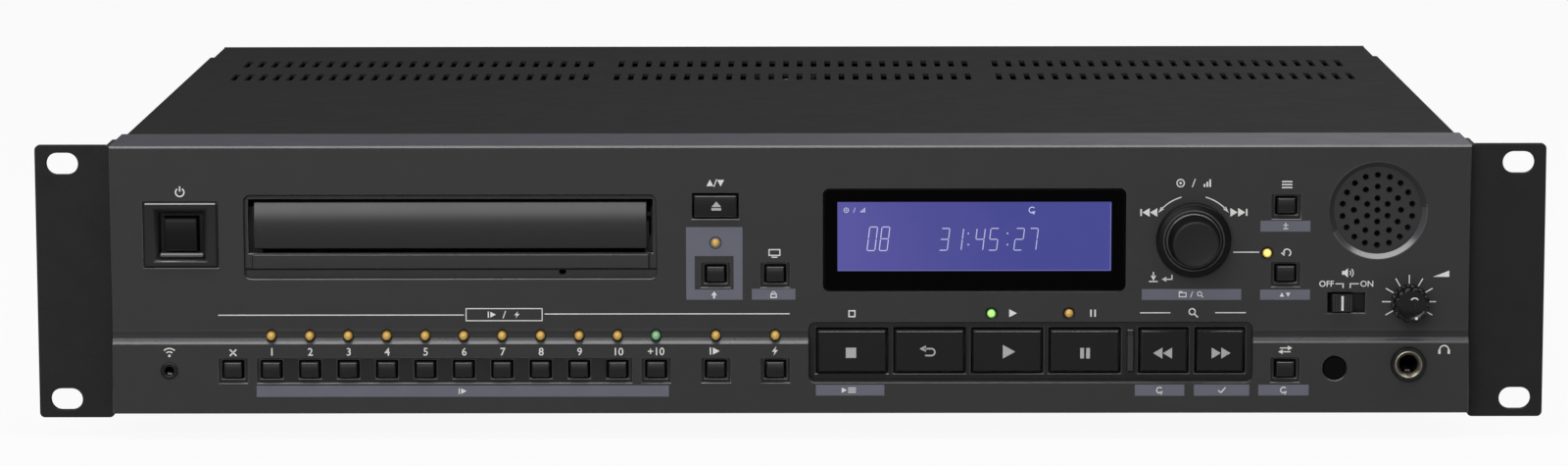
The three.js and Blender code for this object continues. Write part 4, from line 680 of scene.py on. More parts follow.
class PLAYER_OT_casing(bpy.types.Operator):
    """Finishes the cover, chassis, rear panel, ears and feet"""

    bl_idname = "disc_player.casing"
    bl_label = "Casing"

    def foot(self, node):
        """A turned rubber foot with a washer in its hollow, in the place of a CAD foot."""
        low, high = panel_box(node)
        rise = high.z - low.z
        foot = bmesh.new()
        profile = [(0, 2.5), (3.6, 2.5), (3.6, 0.4), (4.2, 0), (12.6, 0), (13.5, 0.9), (14.6, rise - 1.2)]
        profile += [(15, rise - 0.6), (15, rise), (0, rise)]
        turned(foot, [(r, -h) for r, h in profile], 0, 0, 0, 48)
        turned(foot, [(0, -1.2), (3.0, -1.5), (3.4, -2.2), (3.4, -2.6), (0, -2.6)], 0, 0, 1, 24)
        middle = (low + high) / 2
        place = Matrix.Translation((middle.x, middle.y, low.z))
        foot.transform(place @ Matrix.Rotation(-math.pi / 2, 4, "X"))
        deliver(f"{node}_rubber", foot, ["moulded_rubber", "black_oxide_screw"], node)

    def execute(self, context):
        look = context.scene.disc_player_casing
        steel = surface("laminated_steel_cover", look.cover_colour)
        cover = node_copy("top_cover")
        shortest_fold = 60
        folds = [e for e in sharp_edges(cover) if e.calc_length() > shortest_fold]
        bevel(cover, folds, look.fold / MM, 3)
        deliver("cover_bonnet", cover, [steel], "top_cover")
        coat = surface("wrinkle_coat_ear", look.ear_colour)
        for side in ("left", "right"):
            ear = node_copy(f"rack_ear_{side}")
            bevel(ear, sharp_edges(ear), 0.35, 2)
            deliver(f"ear_{side}_coated", ear, [coat], f"rack_ear_{side}")
        deliver("rear_plate", node_copy("rear_panel"), [steel], "rear_panel")
        paint({"bottom_chassis": "galvanised_sheet"})
        for end in ("front", "rear"):
            for side in ("left", "right"):
                self.foot(f"foot_{end}_{side}")
        return {"FINISHED"}


class PLAYER_OT_front_panel(bpy.types.Operator):
    """Chamfers the rims of the moulded front panel and gives its faces their finishes"""

    bl_idname = "disc_player.front_panel"
    bl_label = "Front panel"

    def on_rim(self, edge):
        """Whether an edge belongs to a rim of the face; short edges do at the tray's and tub's corners."""
        foremost, hindmost = -2.1, 1.3
        shortest = 0.9
        x, _, z = (edge.verts[0].co + edge.verts[1].co) / 2
        tray_corner = -175 < x < -42 and (42 < z < 46 or 67.5 < z < 72)
        tub_corner = 4 < x < 149 and (9.5 < z < 14 or 25 < z < 31)
        in_face = all(foremost < v.co.y < hindmost for v in edge.verts)
        return in_face and (edge.calc_length() > shortest or tray_corner or tub_corner)

    def slot(self, face):
        """A face's slot: 0 panel, 1 top in painted light, 2 burnished edge, 3 slope with a painted highlight,
        4 painted shade; none leaves it be.
        """
        x, y, z = face.calc_center_median()
        rise = face.normal.z
        upper_ledge = 24 < z < LEDGE_FOOT + LEDGE_RISE
        on_top = z > 85
        # Depths of the sunk floors round the lower and the upper keys
        floors = (-1.5, 0.5)
        # The upper ledge takes the darker moulding: painted shade
        if upper_ledge and 0.1 < rise < 0.6:
            return 4
        # Faces on top take the lighter top moulding: painted light from above
        if rise > 0.9 and on_top:
            return 1
        # The sunk floors round the keys take the darker moulding: painted shade of their walls
        if face.normal.y < -0.9 and min(abs(y - floor) for floor in floors) < 0.05:
            return 4
        # Faces that slope up and forward take the lighter slope finish, a painted highlight, unless they lie
        # on top, on the divider, in a key's hole or on the upper ledge
        if not (0.5 < rise < 0.9 and face.normal.y < 0):
            return None
        if on_top:
            return 2
        lower_ledge = LEDGE_FOOT - 0.1 < z < 24
        half_chamfer = 0.17
        key_hole = min(abs(y - half_chamfer - floor) for floor in floors) < 0.08 and not lower_ledge
        divider = abs(x - 108.8) < 3
        return None if divider or key_hole or upper_ledge else 3

    def execute(self, context):
        look = context.scene.disc_player_casing
        panel = node_copy("front_panel")
        bevel(panel, [edge for edge in sharp_edges(panel, 50) if self.on_rim(edge)], look.rim / MM, 1, 2)
        bmesh.ops.recalc_face_normals(panel, faces=panel.faces)
        for face in panel.faces:
            slot = self.slot(face)
            if slot is not None:
                face.material_index = slot
        moulded = surface("moulded_abs_panel", look.panel_colour)
        others = ["moulded_abs_top_painted_light", "burnished_abs_edge", "glossy_abs_slope_painted_highlight", "moulded_abs_dark_painted_shade"]
        deliver("panel_moulding", panel, [moulded, *others], "front_panel")
        return {"FINISHED"}


class PLAYER_OT_keys(bpy.types.Operator):
    """Crowns and finishes the keys, the power button and its bezel"""

    bl_idname = "disc_player.keys"
    bl_label = "Keys"

    def crown(self, key, front, rise):
        """Bends a flat key face back towards its upper edge, and a little towards its lower one."""
        near = 0.01
        cuts = 8
        face = [v.co.z for v in key.verts if abs(v.co.y - front) < near]
        low, high = min(face), max(face)
        for i in range(1, cuts):
            geom = key.verts[:] + key.edges[:] + key.faces[:]
            at = (0, 0, low + (high - low) * i / cuts)
            bmesh.ops.bisect_plane(key, geom=geom, plane_co=at, plane_no=(0, 0, 1))
        middle = (low + high) / 2
        for vert in key.verts:
            if abs(vert.co.y - front) < near:
                t = (vert.co.z - middle) / (high - middle)
                vert.co.y = front + rise * (t * t if t > 0 else 0.3 * t * t)

    def cap(self, node, front, rise, reach, chamfer, looks, mark=None):
        """A key whose face is crowned by a rise, chamfered as far back as the reach, and marked.

        The last of its looks is the chamfer's.
        """
        key = node_copy(node)
        if rise:
            self.crown(key, front, rise)
        bevel(key, front_rim(key, front + reach), chamfer, 1, len(looks) - 1)
        if mark:
            sign(key, *mark, front, 1)
        deliver(f"{node}_cap", key, looks, node, node)

    def execute(self, context):
        look = context.scene.disc_player_controls
        polished = "burnished_key_rim"
        small = [surface("moulded_abs_key", look.key_colour), polished]
        large = ["moulded_abs_large_key", "pad_print_grey", polished]
        for node, face in SMALL_KEYS.items():
            self.cap(node, face - 1, 0.42, 0.5, chamfer=0.35, looks=small)
        eject = ("eject", -23.4, 66.75)
        self.cap("open_close_button", -1, 0.3, 0.5, chamfer=0.4, looks=large, mark=eject)
        for name, mark in LARGE_KEYS.items():
            self.cap(f"{name}_button", -0.9, 0, 0.1, chamfer=0.6, looks=large, mark=mark)
        bezel = node_copy("power_bezel")
        bevel(bezel, front_rim(bezel, 3, 25), 0.4, 1, 1)
        # The whole bezel is in the darker moulding, a painted shade in its throat; of its chamfers, only
        # those that face up keep the polished rim
        for face in bezel.faces:
            if face.normal.z < 0.5:
                face.material_index = 0
        # The lip below the power key is in the lighter slope finish: a painted highlight
        plate(bezel, -194.1, 50.95, 14.2, 1.5, 0.6, -0.2, 2.2, 2, 0.6)
        looks = ["moulded_abs_dark_painted_shade", polished, "glossy_abs_slope_painted_highlight"]
        deliver("power_bezel_moulding", bezel, looks, "power_bezel")
        power = ["moulded_abs_power_key", polished]
        self.cap("power_button", 0.3, 0.55, 0.7, chamfer=0.4, looks=power)
        return {"FINISHED"}


class PLAYER_OT_lamps(bpy.types.Operator):
    """Sets the small lamps over the keys"""

    bl_idname = "disc_player.lamps"
    bl_label = "Lamps"

    def execute(self, context):
        look = context.scene.disc_player_controls
        glow = look.lamp_glow
        looks = [
            lamp_epoxy("tinted_epoxy_amber", linear("#86631f"), look.amber_colour, 0.0),
            lamp_epoxy("tinted_epoxy_green", linear("#4a7550"), linear("#86b48a"), 0.0),
            lamp_epoxy("tinted_epoxy_green_lit", linear("#0f4f0c"), linear("#a8fb76"), glow),
            lamp_epoxy("tinted_epoxy_yellow_lit", linear("#80500a"), linear("#ffe478"), glow),
            "moulded_nylon",
        ]
        row = 25.1
        places = [(x, row, LOWER, 0) for x in NUMBER_X[:10]]
        places += [(NUMBER_X[10], row, LOWER, 1), (-23.7, row, LOWER, 0), (-4.7, row, LOWER, 0)]
        places += [(-23.7, 54.8, UPPER, 0), (64.35, 31.9, UPPER, 2), (89.15, 31.9, UPPER, 0)]
        places += [(152.2, 51.3, UPPER, 3)]
        radius = 1.5
        angles = [math.pi / 16 * i for i in range(9)]
        # The profile of a black collar round each lamp, which stands for the dark gap round it: painted shade
        ring = [(1.5, 0.1), (1.75, -0.05), (1.98, -0.05), (2.05, 0.05), (2.05, 1.2), (1.5, 1.2)]
        lamps = bmesh.new()
        for x, z, face, slot in places:
            centre = face + 0.65
            dome = [(radius * math.sin(a), centre - radius * math.cos(a)) for a in angles]
            turned(lamps, dome + [(radius, face + 3), (0, face + 3)], x, z, slot, 32)
            collar = bmesh.new()
            hoop(collar, ring, x, z, 4, 32)
            if face == LOWER:
                for vert in collar.verts:
                    vert.co.y += ledge(vert.co.z)
            take_in(lamps, collar, 4)
        # Each face's share of the dome's height carries the pale tip, which on unlit lamps is partly a
        # painted highlight
        height_share = lamps.loops.layers.uv.new("height_share")
        for face in lamps.faces:
            middle = face.calc_center_median()
            x, z, *_ = min(places, key=lambda p: math.hypot(p[0] - middle.x, p[1] - middle.z))
            for loop in face.loops:
                away = math.hypot(loop.vert.co.x - x, loop.vert.co.z - z) / radius
                loop[height_share].uv = (0.5, 1.2 - 1.2 * away**2)
        deliver("lamp_domes", lamps, looks, smooth=50)
        return {"FINISHED"}


class PLAYER_OT_display(bpy.types.Operator):
    """Lights the display behind its window"""

    bl_idname = "disc_player.display"
    bl_label = "Display"

    # The strokes stand between the window and the lit glass
    front = 0.2
    back = 0.26
    lit = {
        "0": "abcdef", "1": "bc", "2": "abged", "3": "abgcd", "4": "fgbc",
        "5": "afgcd", "6": "afgedc", "7": "abc", "8": "abcdefg", "9": "abcdfg",
    }

    def digit(self, bm, value, x, z, width, height):
        """One seven-segment figure with its lower left corner at (x, z), leaning to the right."""
        part = bmesh.new()
        line = 0.3
        half = height / 2
        across = (width - line, line)
        along = (line, half - line)
        bars = {
            "a": (width / 2, height, *across), "g": (width / 2, half, *across), "d": (width / 2, 0, *across),
            "f": (0, half * 1.5, *along), "e": (0, half / 2, *along),
            "b": (width, half * 1.5, *along), "c": (width, half / 2, *along),
        }
        for name in self.lit[value]:
            block(part, *bars[name], self.front, self.back)
        part.transform(Matrix(((1, 0, 0.12, x), (0, 1, 0, 0), (0, 0, 1, z), (0, 0, 0, 1))))
        take_in(bm, part, 1)

    def execute(self, context):
        look = context.scene.disc_player_display
        x, z, width, height = LCD
        window = node_copy("display_window")
        bevel(window, front_rim(window, 0.31), 0.25, 1, 1)
        deliver("display_lens", window, ["acrylic_window", "burnished_key_rim"], "display_window")

        glass = bmesh.new()
        block(glass, x, z, width, height, 0.24, 0.4, 0)
        for i, value in enumerate(look.track):
            self.digit(glass, value, 24.6 + 3.9 * i, 52.2, 2.5, 7.6)
        for value, start in zip(look.clock, (47.6, 52.0, 58.9, 63.3, 71.4, 75.8)):
            self.digit(glass, value, start, 52.3, 2.6, 7.0)
        for colon in (56.9, 69.4):
            for rise in (54.1, 57.7):
                block(glass, colon, rise, 0.45, 0.45, self.front, self.back, 1)
        sign(glass, "disc_data", 20.6, 65.2, 0.24, 1, 0.62)
        sign(glass, "loop", 77.2, 65.2, 0.24, 1, 0.95)
        block(glass, x + width / 2 - 0.25, z, 0.25, height - 0.6, self.front, self.back, 2)
        block(glass, x, z - height / 2 + 0.2, width - 0.6, 0.2, self.front, self.back, 2)
        ends = (x - width / 2, x + width / 2)
        middle = (x - 40, x + 40)
        looks = [
            lit_glass("backlit_display_glass", look.left_colour, look.right_colour, *ends, look.glow),
            lit_glass("lit_display_strokes", linear("#dcdcff"), linear("#cfd0f8"), *middle, 0.8),
            lit_glass("display_glass_edge", linear("#7d7bc0"), linear("#8584c8"), *middle, 0.7),
        ]
        deliver("display_glass", glass, looks)
        paint({"display_module": "moulded_abs_tray"})
        return {"FINISHED"}


class PLAYER_OT_knobs(bpy.types.Operator):
    """Turns the data dial and the level knob, and ribs the speaker switch"""

    bl_idname = "disc_player.knobs"
    bl_label = "Knobs"

    def dial(self):
        """A dished cap in a skirt, with two ridges round its foot in the lighter slope finish, a painted
        highlight.
        """
        dial = bmesh.new()
        profile = [
            (0, -12.15), (4.6, -12.2), (6.3, -12.42), (6.75, -12.5), (7.1, -12.42), (7.32, -12.1),
            (7.4, -11.6), (7.6, -10), (8.0, -7), (8.35, -4.4), (8.5, -4.0), (8.7, -3.9), (8.85, -3.4),
            (9.2, -3.3), (9.3, -3.6), (9.45, -3.8), (9.6, -3.8), (9.75, -3.6), (9.85, -3.2), (10.4, -3.1),
            (11.2, -2.8), (11.7, -2.4), (11.9, -1.9), (11.9, -1.3), (11.7, -1.1), (3.3, -1.1), (3.3, -9.3),
            (0, -9.3),
        ]
        turned(dial, profile, *DIAL, 0, 128)
        for face in dial.faces:
            middle = face.calc_center_median()
            radius = math.hypot(middle.x - DIAL[0], middle.z - DIAL[1])
            # The two ridges take the lighter slope finish, a painted highlight; the skirt takes the darkest
            # cap moulding
            if 9.2 < radius < 9.85 or 8.4 < radius < 8.85:
                face.material_index = 1
            elif radius > 7.4:
                face.material_index = 2
        looks = ["satin_abs_dial", "glossy_abs_slope_painted_highlight", "moulded_abs_power_key"]
        deliver("data_dial_knob", dial, looks, "data_dial", "data_dial", 50)

    def level(self, ink):
        """A fluted knob with a pointer bar and a dot on its cap, and a white arc over the bar that is a
        painted highlight.
        """
        level = bmesh.new()
        profile = [
            (0, -7.55), (3.6, -7.6), (4.3, -7.85), (4.7, -8.0), (5.2, -7.85), (5.7, -7.2), (5.95, -6.2),
            (6.0, -4), (6.0, -1.1), (5.7, -0.6), (2, -0.6), (2, 8), (0, 8),
        ]
        middle_x, middle_z = LEVEL
        turned(level, profile, middle_x, middle_z, 0, 96)
        flutes = 12
        flute_foot = 4.5
        for vert in level.verts:
            dx = vert.co.x - middle_x
            dz = vert.co.z - middle_z
            radius = math.hypot(dx, dz)
            if radius > flute_foot:
                wave = 0.5 + 0.5 * math.cos(flutes * math.atan2(dz, dx))
                shrink = 1 - 0.15 * wave**3 * min(1, (radius - flute_foot) / 1.2)
                vert.co.x = middle_x + dx * shrink
                vert.co.z = middle_z + dz * shrink
        dot = [(0, -8.1), (0.45, -8.1), (0.45, -7.6), (0, -7.6)]
        turned(level, dot, middle_x + 1.5, middle_z - 4.2, 1, 16)
        block(level, middle_x + 0.9, middle_z + 0.7, 0.8, 2.6, -8.0, -7.4, 2)
        # A white arc over the pointer bar: a painted highlight
        arc = [(1.5, -8.02), (1.5, -7.5), (1.15, -7.5), (1.15, -8.02)]
        turned(level, arc, middle_x + 0.9, middle_z + 1.0, 1, 8, 110, 35)
        looks = ["glossy_phenolic_knob", ink, "moulded_nylon"]
        deliver("level_knob_fluted", level, looks, "level_knob", "level_knob", 40)

    def switch(self, ink):
        """A slide cap with ribs on both sides of a white line."""
        low, high = panel_box("speaker_switch")
        x = (low.x + high.x) / 2
        z = (low.z + high.z) / 2
        top = -1.4
        switch = node_copy("speaker_switch")
        bevel(switch, front_rim(switch, top), 0.2, 2)
        # The ribs are in the lighter panel moulding: a painted highlight on them
        for offset in (-2.7, -1.9, -1.1, 1.1, 1.9, 2.7):
            plate(switch, x + offset, z, 0.42, 5.3, 0.1, -1.85, top, 2)
        block(switch, x, z, 0.75, 4.7, -1.56, top, 1)
        looks = ["moulded_nylon", ink, "moulded_abs_panel"]
        deliver("speaker_switch_ribbed", switch, looks, "speaker_switch", "speaker_switch")

    def execute(self, context):
        ink = surface("screen_print_white", context.scene.disc_player_controls.print_colour)
        self.dial()
        self.level(ink)
        self.switch(ink)
        paint({"dial_shaft": "turned_steel"})
        return {"FINISHED"}


class PLAYER_OT_speaker(bpy.types.Operator):
    """Lines the loudspeaker's dish and closes it with a grille of round holes"""

    bl_idname = "disc_player.speaker"
    bl_label = "Loudspeaker"

    def execute(self, context):
        moulded = surface("moulded_abs_panel", context.scene.disc_player_casing.panel_colour)
        x, z = GRILLE
        radius = 13.95
        hole = 1.1
        pitch = 3.75
        thickness = 0.3
        depth = 1.68
        grille = bmesh.new()
        bmesh.ops.create_circle(grille, segments=64, radius=radius, cap_ends=False)
        holes = [(0.0, 0.0)]
        for ring in (1, 2, 3):
            for i in range(6 * ring):
                a = 2 * math.pi * i / (6 * ring)
                holes.append((ring * pitch * math.sin(a), ring * pitch * math.cos(a)))
        for u, v in holes:
            place = Matrix.Translation((u, v, 0))
            bmesh.ops.create_circle(grille, segments=16, radius=hole, cap_ends=False, matrix=place)
        bmesh.ops.triangle_fill(grille, edges=grille.edges[:], use_beauty=True)
        bmesh.ops.dissolve_limit(grille, angle_limit=0.01, verts=grille.verts, edges=grille.edges)
        pulled(grille, grille.faces[:], (0, 0, thickness))
        grille.transform(Matrix.Translation((x, depth, z)) @ Matrix.Rotation(math.pi / 2, 4, "X"))
        bmesh.ops.recalc_face_normals(grille, faces=grille.faces)
        lining = [(radius, 1.6), (radius, 1.5), (15.5, -0.07), (15.75, -0.05), (15.9, 0.03), (14.3, 1.6)]
        hoop(grille, lining, x, z, 1, 96)
        # Painted highlight: only the lower right of the lining takes the lighter slope finish, where the
        # light would catch it
        for face in grille.faces:
            middle = face.calc_center_median()
            if face.material_index == 1 and middle.z - z > 0.3 * (middle.x - x) - 3:
                face.material_index = 0
        deliver("speaker_grille", grille, [moulded, "glossy_abs_slope_painted_highlight"], smooth=30)
        paint({"speaker_driver": "pressed_paper_cone"})
        return {"FINISHED"}


class PLAYER_OT_sockets(bpy.types.Operator):
    """Finishes the headphone and remote sockets and the infrared window"""

    bl_idname = "disc_player.sockets"
    bl_label = "Sockets"

    def execute(self, context):
        looks = ["moulded_nylon", "nickel_plate"]
        x, z = PHONES
        socket = bmesh.new()
        nut = [(4.35, -3.5), (4.5, -3.75), (5.1, -3.75), (5.5, -3.3), (5.6, -2.4), (5.6, -2.02)]
        nut += [(4.35, -2.02)]
        hoop(socket, nut, x, z, 0, 64)
        funnel = [(2.9, -2.0), (3.0, -2.3), (3.4, -2.7), (3.75, -3.3), (4.1, -3.62), (4.36, -3.55)]
        funnel += [(4.36, -2.0)]
        hoop(socket, funnel, x, z, 1, 64)
        hoop(socket, [(3.2, -1.3), (3.2, 14), (3.0, 14), (3.0, -1.3)], x, z, 0, 40)
        block(socket, x, z - 2.45, 1.6, 0.5, 0.5, 9, 1)
        block(socket, x, z + 2.5, 2.2, 0.35, 3, 10, 1)
        deliver("phones_socket_rings", socket, looks, smooth=40)
        # The jack's bore is widened at its mouth for the funnel
        bore_radius = 3.5
        jack = node_copy("phones_jack")
        for vert in jack.verts:
            away = Vector((vert.co.x - x, vert.co.z - z))
            if away.length < bore_radius and vert.co.y < -3:
                vert.co.x = x + away.x * 1.3
                vert.co.z = z + away.y * 1.3
        deliver("phones_jack_bushing", jack, looks[:1], "phones_jack")

        remote = bmesh.new()
        rim = [(1.72, -2.1), (1.95, -2.3), (2.35, -2.3), (2.65, -2.02), (2.65, -1.9), (1.72, -1.9)]
        hoop(remote, rim, *REMOTE, 0, 40)
        hoop(remote, [(1.72, -1.95), (1.72, 9.5), (1.5, 9.5), (1.5, -1.95)], *REMOTE, 0, 32)
        block(remote, REMOTE[0], REMOTE[1] - 1.05, 1.4, 0.5, -0.9, 6, 1, 8)
        deliver("remote_socket_rim", remote, looks, smooth=40)
        paint({"infrared_window": "dyed_acrylic_filter"})
        return {"FINISHED"}


class PLAYER_OT_print(bpy.types.Operator):
    """Prints the lines, bars, numbers and pictograms on the panel"""

    bl_idname = "disc_player.print"
    bl_label = "Print"

    def bars(self, slate):
        """The slate bars and the slate frame round the shift key."""
        bars = bmesh.new()
        front = UPPER - SLATE_INK
        back = UPPER + INK_FOOT
        for x, z, width, height, face in SLATE_BARS:
            block(bars, x, z, width, height, face - SLATE_INK, face + INK_FOOT)
        left, right, foot, top = -33.1, -15.1, 36.45, 59.85
        inner_left, inner_right, inner_foot, inner_top = -30.35, -17.95, 39.78, 50.53
        for x0, x1, z0, z1 in (
            (left, right, inner_top, top),
            (left, right, foot, inner_foot),
            (left, inner_left, inner_foot, inner_top),
            (inner_right, right, inner_foot, inner_top),
        ):
            block(bars, (x0 + x1) / 2, (z0 + z1) / 2, x1 - x0, z1 - z0, front, back)
        deliver("print_slate", bars, [slate])

    def execute(self, context):
        look = context.scene.disc_player_controls
        self.bars(surface("screen_print_slate", look.slate_colour))
        marks = bmesh.new()
        ink = (UPPER - INK, UPPER + INK_FOOT)
        low_ink = (LOWER - INK, LOWER + INK_FOOT)
        stroke = 0.32
        for x0, x1, z in RULES:
            block(marks, (x0 + x1) / 2, z, x1 - x0, stroke, *ink)
        for x in (176.5, 178.8):
            block(marks, x, 40.8, 0.38, 1.6, *ink)
        outline(marks, -91.35, 31.7, 24.6, 4.2, 0.3, *ink)
        for name, x, z, face in PLAIN_SIGNS:
            sign(marks, name, x, z, face)
        for name, x, z, face, size in SLATE_SIGNS:
            sign(marks, name, x, z, face, 0, size, SLATE_INK)
        for i, x in enumerate(NUMBER_X[:10]):
            words(marks, str(i + 1), x + 0.2, 20.05, 2.5, *low_ink)
        words(marks, "+10", -42.8, 20.1, 2.5, *low_ink)
        words(marks, "OFF", 171.2, 41.4, 1.95, *ink)
        words(marks, "ON", 184.1, 41.4, 1.95, *ink)
        tick_radius = 7.2
        for i in range(9):
            degrees = 210 - 30 * i
            a = math.radians(degrees)
            x = LEVEL[0] + tick_radius * math.cos(a)
            z = LEVEL[1] + tick_radius * math.sin(a)
            block(marks, x, z, 0.35, 2.8, *ink, 0, 90 - degrees)
        # An arc over each upper side of the dial, with an arrowhead at its outer end
        for end, start in ((-1, 106), (1, 44)):
            arc = [(14.3, ink[0]), (14.3, ink[1]), (13.95, ink[1]), (13.95, ink[0])]
            turned(marks, arc, *DIAL, 0, 10, 30, start)
            degrees = 90 - 48 * end
            a = math.radians(degrees)
            x = DIAL[0] + 14.1 * math.cos(a)
            z = DIAL[1] + 14.1 * math.sin(a)
            slab(marks, spun([(1.1, 0), (-0.9, 0.6), (-0.9, -0.6)], x, z, degrees - 90 * end), *ink)
        deliver("print_white", marks, [surface("screen_print_white", look.print_colour)])
        return {"FINISHED"}


class PLAYER_OT_tray(bpy.types.Operator):
    """Finishes the tray, its door and the disc mechanism"""

    bl_idname = "disc_player.tray"
    bl_label = "Disc tray"

    def execute(self, context):
        door = node_copy("tray_front")
        bevel(door, front_rim(door, 1.2, 50), 0.3, 3)
        deliver("tray_door", door, ["polished_abs_door"], "tray_front", "tray", 40)
        # A black strip under the bar below the door: painted shadow of the gap there
        shadow_gap = bmesh.new()
        block(shadow_gap, -108.4, 46.3, 133.0, 0.6, 1.12, 1.3)
        deliver("tray_lip_painted_shadow", shadow_gap, ["moulded_abs_power_key"])
        tray = node_copy("disc_tray")
        deliver("disc_tray_moulding", tray, ["moulded_abs_tray"], "disc_tray", "tray", 20)
        paint({
            "loader_frame": "moulded_acetal_grey",
            "tray_gear": "moulded_acetal_white",
            "clamp_bridge": "galvanised_sheet",
            "disc_clamp": "moulded_nylon",
            "traverse_frame": "galvanised_sheet",
            "turntable": "moulded_nylon",
            "optical_pickup": "moulded_acetal_grey",
        })
        return {"FINISHED"}


class PLAYER_OT_electronics(bpy.types.Operator):
    """Finishes the boards, the inlet and the transformer"""

    bl_idname = "disc_player.electronics"
    bl_label = "Electronics"

    def execute(self, context):
        rough = (0.35, 0.5)
        laminate = 1.7
        control_board_back = 10.9
        core_y, core_z = 222, 42.9
        board_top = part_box("main_board")[0].z + laminate * MM
        board_back = (PLACE @ Vector((0, control_board_back, 0))).y
        low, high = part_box("mains_transformer")
        core = PLACE @ Vector((0, core_y, core_z))
        centre = ((low.x + high.x) / 2, core.y, core.z)
        paint({
            "main_board": banded(
                "solder_masked_laminate_main", "#2f5d3a", "#17181a", 2, board_top, rough, 2.5
            ),
            "control_board": banded(
                "solder_masked_laminate_front", "#151617", "#2c5636", 1, board_back, rough, 2.5
            ),
            "mains_inlet": "moulded_nylon",
            "mains_transformer": wound_tape("wound_polyester_tape", centre, 34),
        })
        return {"FINISHED"}


class PLAYER_OT_hardware(bpy.types.Operator):
    """Plates the rear connectors and drives the case screws"""

    bl_idname = "disc_player.hardware"
    bl_label = "Hardware"

    def screw(self, bm, place, heading, radius):
        """A round-headed screw with a socket, standing on a face that looks along the heading."""
        part = bmesh.new()
        head = [(0, 0.6), (0.3, 0.6), (0.36, 0.85), (0.62, 0.82), (0.86, 0.55), (1, 0.1), (1, 0), (0, 0)]
        turned(part, [(radius * r, -0.6 * radius * h) for r, h in head], 0, 0, 0, 24)
        turn = Vector((0, -1, 0)).rotation_difference(Vector(heading)).to_matrix().to_4x4()
        part.transform(Matrix.Translation(place) @ turn)
        take_in(bm, part)

    def execute(self, context):
        right = panel_box("main_board")[1].x
        back = panel_box("rear_panel")[1].y
        low, high = panel_box("mains_inlet")
        inlet_x = (low + high).x / 2
        mouth = high.y
        row = 24
        inlet_row = 22
        cups = [right - inset for inset in (22, 56)]
        port = right - 153
        plating = bmesh.new()

        def ring(profile, x, slot, steps):
            """A ring that stands on the rear panel, its profile given from there."""
            hoop(plating, [(r, back + y) for r, y in profile], x, row, slot, steps)

        for x in cups:
            ring([(11.6, 0.02), (13.2, 0.02), (13.2, 0.9), (12.6, 1.2), (11.6, 1.2)], x, 0, 48)
        for i, inset in enumerate((80, 96, 112)):
            ring([(4.15, 0.9), (4.4, 0.9), (4.4, 8.0), (4.15, 8.15)], right - inset, 0, 32)
            ring([(4.2, 0.02), (6.2, 0.02), (6.2, 0.7), (5.9, 1.0), (4.2, 1.0)], right - inset, 1 + i, 32)
        plate(plating, port, row, 39, 12.4, corner=1.5, front=back + 0.02, back=back + 0.8)
        jack_nut = [(0, back + 3), (2.4, back + 3), (2.5, back), (0, back)]
        for end in (-1, 1):
            turned(plating, jack_nut, port + end * 17.2, row, 0, 6)
        pin_width, pin_height = 2.1, 4.1
        pins = (mouth - 13.9, mouth - 2.95)
        for dx, dz in ((-7, 0), (0, 4), (7, 0)):
            block(plating, inlet_x + dx, inlet_row + dz, pin_width, pin_height, *pins)
        looks = ["nickel_plate", "moulded_nylon", "moulded_acetal_white", "moulded_acetal_red"]
        deliver("connector_plating", plating, looks, smooth=30)

        rearwards = (0, 1, 0)
        small, middling, large = 1.7, 2.2, 2.8
        upper_row = 78
        side_row = 20
        corners = ((-11, 11), (11, -11))
        places = [((x + dx, back, row + dz), rearwards, small) for x in cups for dx, dz in corners]
        places += [((inlet_x + dx, mouth - 0.3, inlet_row), rearwards, small) for dx in (-20, 20)]
        places += [((x, back, upper_row), rearwards, middling) for x in (-190, -95, 0, 95, 190)]
        for side, corner in zip((-1, 1), panel_box("top_cover")):
            places += [((corner.x, y, side_row), (side, 0, 0), large) for y in (60, 165, 270)]
        screws = bmesh.new()
        for place in places:
            self.screw(screws, *place)
        deliver("case_screws", screws, ["black_oxide_screw"], smooth=30)
        return {"FINISHED"}


